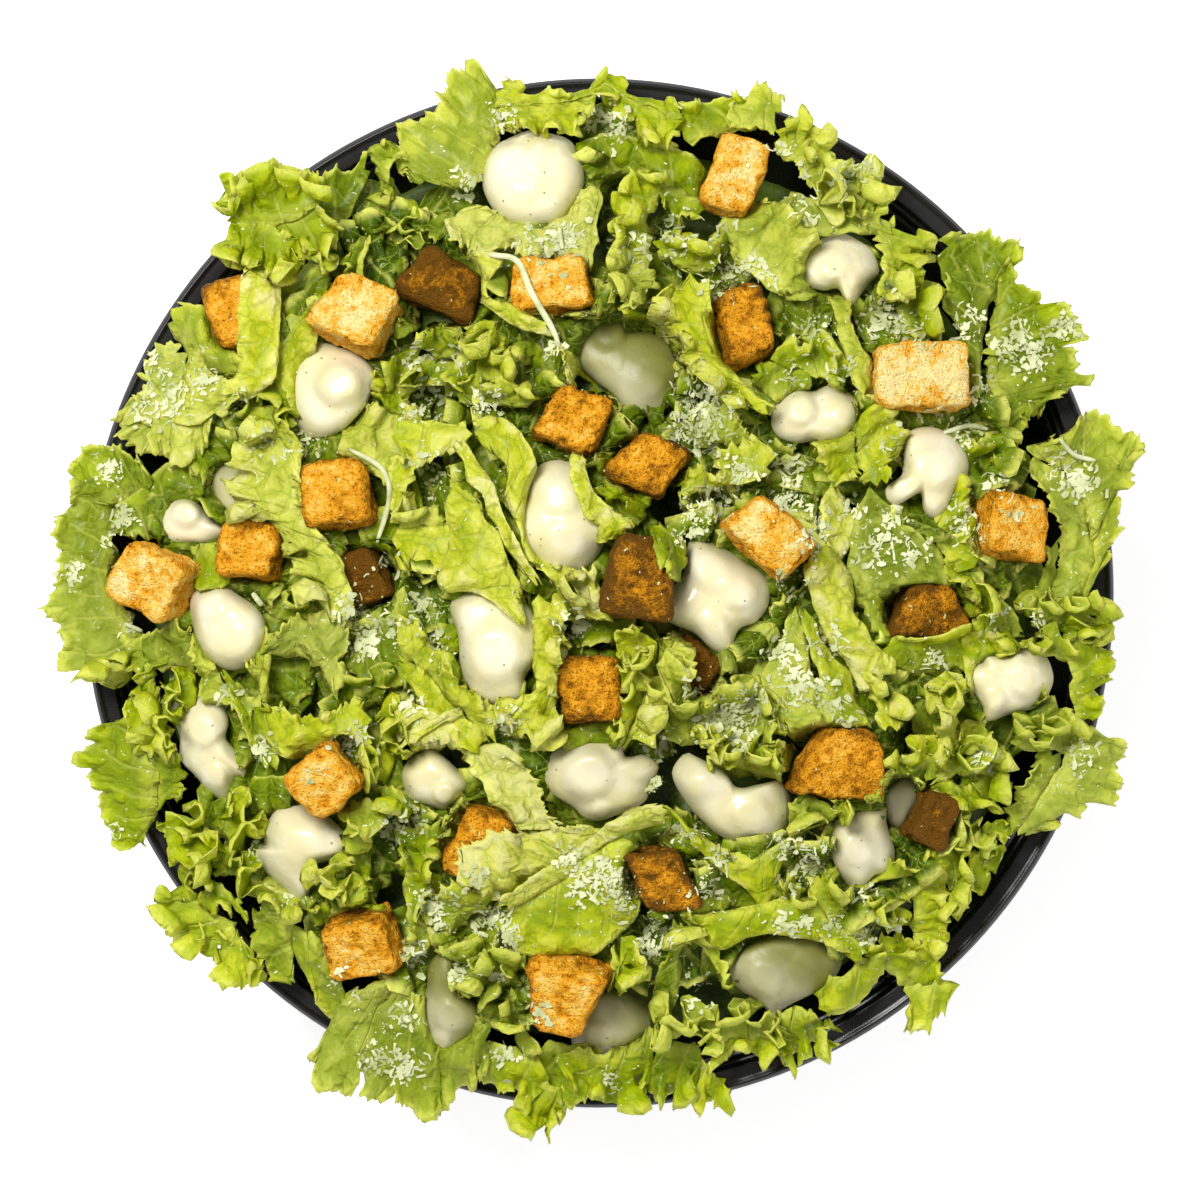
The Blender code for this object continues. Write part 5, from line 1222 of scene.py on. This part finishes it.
# Where it fell thickest, in millimetres: x, y, spread and the number of shreds.
HEAPS = places(
    "-88 44 4 16, -78 42 3.5 34, -84 37 5 30, -91 37 4 20, -72 38 3 10, -37 46 3.5 26, -34 40 4 22, "
    "-25 80 3.6 46, -19 94 3 22, -12 69 5 34, -6 70 4 30, -8 65 4 26, 2 93 4.5 40, 15 71 5 44, 7 68 4 18, "
    "24 73 3.5 20, 25 62 5 46, 31 63 4 34, 34 86 4 36, -28 46 3 12, -22 38 4 20, 17 38 4.5 40, "
    "23 37 4.5 34, -9 48 2.4 18, 39 81 4.5 40, 48 82 3 18, 52 84 2.4 20, 41 74 2.2 10, 56 54 5 56, "
    "62 50 3.5 30, 71 52 2.6 18, 74 55 2.4 14, 83 51 3.4 26, 86 47 4 50, 93 53 3.2 36, 80 48 3 16, "
    "42 52 4 22, 48 44 3 16, 38 42 3 16, 75 41 3.4 26, -97 25 3 16, -94 15 2.6 30, -105 4 3 16, "
    "-97 11 2.6 12, -66 29 4 16, -57 30 4 26, -47 13 2.4 8, -43 5 3 16, -48 -3 3.4 40, -46 -10 3.6 46, "
    "-42 -6 3.4 24, -92 -6 3 14, -74 -20 2.4 14, -66 -31 3 20, -48 -29 3 36, -56 -36 2.6 16, -33 25 4 20, "
    "-36 36 3 12, 18 33 4.4 50, 22 30 4 26, 21 17 4.2 64, 18 11 3.4 30, 28 23 4 26, 37 25 4 34, "
    "37 18 4 34, -5 -7 3.4 34, -35 -3 3 18, -32 -9 3 20, -18 -25 3 20, 24 -24 4 66, 30 -22 4 40, "
    "28 -28 3.6 34, 19 -19 3 20, 36 -12 4 40, 40 -18 5 50, 45 -10 4 24, 47 -22 4 24, -36 -22 3 12, "
    "11 -31 3 22, 37 3 4 34, 41 10 3.6 30, 66 36 3.4 26, 72 31 3.4 26, 95 22 3.6 60, 92 26 3 16, "
    "72 15 4 34, 75 12 2.6 20, 57 14 4 24, 54 8 4 20, 61 8 4 22, 50 17 3 12, 44 14 3.4 26, 58 29 3 12, "
    "82 16 2.6 18, 78 21 3 22, 78 -5 3 12, 66 -13 3 14, 86 -6 3 16, 95 -32 4 22, 76 -33 2.6 26, "
    "-96 -47 2 8, -68 -51 2 14, -60 -60 2 14, -39 -94 4 50, -45 -92 3.4 24, -37 -72 3.4 34, "
    "-50 -76 2.6 20, -38 -84 3.4 20, -41 -47 3.4 24, -36 -44 3.4 26, -32 -62 4 50, -24 -56 3 20, "
    "-21 -64 3 44, -18 -68 2.6 40, -6 -52 3 26, 2 -55 4.4 66, 5 -60 3.6 40, -3 -58 3.4 24, 17 -48 3.4 24, "
    "24 -52 3 18, 21 -58 3.4 24, 12 -66 3 30, 10 -70 2.4 16, 20 -79 3.4 50, -28 -75 2.6 26, -20 -76 2 12, "
    "-12 -82 3.4 26, -18 -91 3.6 26, 2 -96 2 10, 36 -66 3 24, 37 -49 3 20, 38 -58 3 14, 12 -38 2.6 36, "
    "40 -66 2.6 22, 42 -53 3 34, 45 -49 3 16, 46 -65 2.6 14, 53 -68 2.2 18, 58 -66 2.6 12, 53 -60 3 16"
)
# The long strips: the places that each passes over, then its width.
STRIPS = (
    ("-21.6 66.5, -16.2 65.3, -13.2 58.9, -9.2 51.9, -7.8 48.5", 1.2),
    ("-49.2 28.3, -42.8 24.5, -41.2 18.9, -43.6 9.9", 1),
    ("68 31.6, 73 33, 77 32.4", 0.9),
    ("91 30.5, 94 27.4, 98.4 26.2", 0.9),
    ("-7.8 72, -7.2 67.6", 0.8),
    ("-68.4 0, -66.4 -2.6", 1.1),
    ("-94 -6, -90.4 -7.6", 0.8),
)
DUST_COUNT = 3400
DUST_REACH = 104 * MM
# How low a bit may land, the height that bits fall from, and the share of those that meet a
# crouton or dressing which stays there.
LOWEST = RIM_HEIGHT - 6 * MM
FALL_HEIGHT = 0.2
CLINGING = 0.3
STRIP_POINTS = 26


def surface_below(spots):
    """Height and normal of the topmost food under each place (x, y), and its number."""
    height = np.full(len(spots), -1.0)
    which = np.zeros(len(spots), int)
    facing = np.tile((0.0, 0.0, 1.0), (len(spots), 1))
    graph = bpy.context.evaluated_depsgraph_get()
    for number, piece in enumerate(food):
        corners = np.array([corner[:] for corner in piece.bound_box])
        low, high = corners.min(axis=0), corners.max(axis=0)
        near = ((spots > low[:2]) & (spots < high[:2])).all(axis=1) & (height < high[2])
        for index in np.flatnonzero(near):
            start = (*spots[index], FALL_HEIGHT)
            found, hit, normal, _ = piece.ray_cast(start, (0, 0, -1), depsgraph=graph)
            if found and hit.z > height[index]:
                height[index] = hit.z
                facing[index] = normal
                which[index] = number
    return height, facing, which


def shreds(spots, normals, long, wide, rings, generator):
    """Three-sided bars along short arcs that lie on the surface, each turned its own way."""
    count = len(spots)
    turn = generator.uniform(0, 2 * np.pi, count)
    ahead = np.stack((np.cos(turn), np.sin(turn), generator.uniform(-0.15, 0.25, count)), axis=1)
    ahead = unit(ahead - normals * (ahead * normals).sum(axis=1, keepdims=True) * 0.8)
    aside = unit(np.cross(normals, ahead))
    t = np.linspace(-1, 1, rings)[None, :, None]
    curl = generator.uniform(-0.5, 0.5, (count, 1, 1))
    line = spots[:, None] + long[:, None, None] * (ahead[:, None] * t + curl * aside[:, None] * t**2) / 2
    line = line + normals[:, None] * (0.2 * wide[:, None, None] + 0.3 * long[:, None, None] * (curl * t) ** 2)
    slim = wide[:, None, None] * (0.5 - 0.15 * t**2) * generator.uniform(0.55, 1.25, (count, rings, 1))
    around = [
        line + slim * (across * aside[:, None] + up * normals[:, None])
        for across, up in ((1, 0.2), (-0.9, 0.4), (0.1, -0.5))
    ]
    points = np.stack(around, axis=2)
    index = np.arange(points[..., 0].size).reshape(count, rings, 3)
    ahead_ring = np.roll(index, -1, axis=2)
    corners = (index[:, :-1], ahead_ring[:, :-1], ahead_ring[:, 1:], index[:, 1:])
    walls = np.stack(corners, axis=-1).reshape(-1, 4)
    halves = np.vstack((walls[:, :3], walls[:, (0, 2, 3)]))
    return points.reshape(-1, 3), np.vstack((halves, index[:, 0, ::-1], index[:, -1]))


def strip(path, wide):
    """A flat bar along a path that rests on whatever is highest under it."""
    way = smooth_path(places(path) * MM, STRIP_POINTS)
    height = np.maximum(surface_below(way)[0], RIM_HEIGHT + HEAP_EDGE_RISE)
    padded = np.pad(height, 3, mode="edge")
    highest = np.max([padded[shift:shift + len(height)] for shift in range(7)], axis=0)
    soft = np.convolve(np.pad(highest, 3, mode="edge"), np.ones(7) / 7, mode="valid")
    line = np.column_stack((way, soft + 0.4 * wide * MM))
    ahead = unit(np.gradient(line, axis=0))
    aside = unit(np.cross((0, 0, 1), ahead))
    taper = 0.5 * wide * MM * (1 - 0.5 * np.linspace(-1, 1, len(line)) ** 6)[:, None]
    thick = np.array((0, 0, 0.6))
    ring = [
        line + taper * (across * aside + up * thick)
        for across, up in ((1, 1), (-1, 0.8), (-0.9, -1), (1, -0.9))
    ]
    points = np.stack(ring, axis=1).reshape(-1, 3)
    index = np.arange(len(points)).reshape(-1, 4)
    faces = np.vstack((grid_faces(len(line), 4, wrap_columns=True)[:, ::-1], index[:1], index[-1:, ::-1]))
    return points, faces


food = sorted(leaf_pieces, key=lambda piece: piece.name) + [core] + croutons + dollops
generator = np.random.default_rng(77)
near_heaps = [
    np.array((x, y)) * MM + generator.normal(0, 0.5 * spread * MM, (int(1.6 * count), 2))
    for x, y, spread, count in HEAPS
]
heaped = np.vstack(near_heaps)
bearing = generator.uniform(0, 2 * np.pi, DUST_COUNT)
reach = DUST_REACH * np.sqrt(generator.uniform(0, 1, DUST_COUNT))
dust = np.column_stack((reach * np.cos(bearing), reach * np.sin(bearing)))
dust = np.vstack((dust, *[heap + generator.normal(0, 2 * MM, heap.shape) for heap in near_heaps[::2]]))
cheese = Finish("grated_cheese")
where = cheese.place()
mottle = cheese.noise(where, 6 * MM, 2)
grated_cheese = cheese.finish(
    Base_Color=cheese.blend(mottle.rise(0.35, 0.65), (0.72, 0.74, 0.44), (0.42, 0.46, 0.20)),
    Roughness=0.55,
    Specular_IOR_Level=0.3,
)
# Each kind of bit: where it fell, its least and greatest length and width in millimetres, and the
# rings of points along it.
for name, group, long, wide, rings in (
    ("cheese_shreds", heaped, (0.6, 2.4), (0.4, 1.5), 3),
    ("cheese_dust", dust, (0.25, 0.9), (0.22, 0.6), 2),
):
    height, facing, which = surface_below(group)
    on_topping = which > len(leaf_pieces)
    bare = on_topping & (generator.uniform(0, 1, len(group)) > CLINGING)
    found = (height > LOWEST) & ~bare
    group, height, facing = group[found], height[found], facing[found]
    sizes = [
        MM * (low + (high - low) * generator.uniform(0, 1, len(group)) ** 2.4)
        for low, high in (long, wide)
    ]
    spots = np.column_stack((group, height))
    piece = add_piece(name, *shreds(spots, facing, *sizes, rings, generator), grated_cheese)
    piece.data.shade_flat()
bars = [strip(path, wide) for path, wide in STRIPS]
starts = np.cumsum([0] + [len(points) for points, _ in bars])
faces = np.vstack([faces + start for (_, faces), start in zip(bars, starts)])
piece = add_piece("cheese_strips", np.vstack([points for points, _ in bars]), faces, grated_cheese)

# ---------------------------------------------------------------------------------------------
# Floor, light and camera. A plain white table that glows a little, so that it is pale all over,
# a soft light from the upper left with a wider, weaker one opposite, and a camera straight above.

CAMERA_HEIGHT = 2.2
CAMERA_SHIFT = (0.0002, -0.0014)
FRAME_WIDTH = 0.2388
SENSOR = 36.0
SKY_STRENGTH = 0.36

white = Finish("white_table")
white_table = white.finish(
    Base_Color=(0.93, 0.93, 0.93),
    Roughness=0.7,
    Emission_Color=(1, 1, 1),
    Emission_Strength=0.6,
)
floor_corners = [(-3, -3, 0), (3, -3, 0), (3, 3, 0), (-3, 3, 0)]
floor_mesh = bpy.data.meshes.new("table")
floor_mesh.from_pydata(floor_corners, [], [(0, 1, 2, 3)])
floor_mesh.materials.append(white_table)
table = bpy.data.objects.new("table", floor_mesh)
bpy.context.scene.collection.objects.link(table)


def add_light(name, place, size, power):
    """A square soft light that faces the salad."""
    lamp = bpy.data.lights.new(name, "AREA")
    lamp.size = size
    lamp.energy = power
    made = bpy.data.objects.new(name, lamp)
    made.location = place
    made.rotation_euler = Vector(place).to_track_quat("Z", "Y").to_euler()
    bpy.context.scene.collection.objects.link(made)


add_light("key", (-0.46, 0.54, 1.42), 0.50, 27.5)
add_light("fill", (0.9, -0.6, 0.8), 1.0, 5)
world = bpy.data.worlds.new("studio")
world.use_nodes = True
background = world.node_tree.nodes["Background"]
background.inputs["Color"].default_value = (1, 1, 1, 1)
background.inputs["Strength"].default_value = SKY_STRENGTH
bpy.context.scene.world = world
bpy.context.scene.view_settings.view_transform = "Standard"

lens = bpy.data.cameras.new("above")
lens.sensor_width = SENSOR
lens.lens = SENSOR * (CAMERA_HEIGHT - RIM_HEIGHT) / FRAME_WIDTH
camera = bpy.data.objects.new("above", lens)
camera.location = (*CAMERA_SHIFT, CAMERA_HEIGHT)
bpy.context.scene.collection.objects.link(camera)
bpy.context.scene.camera = camera
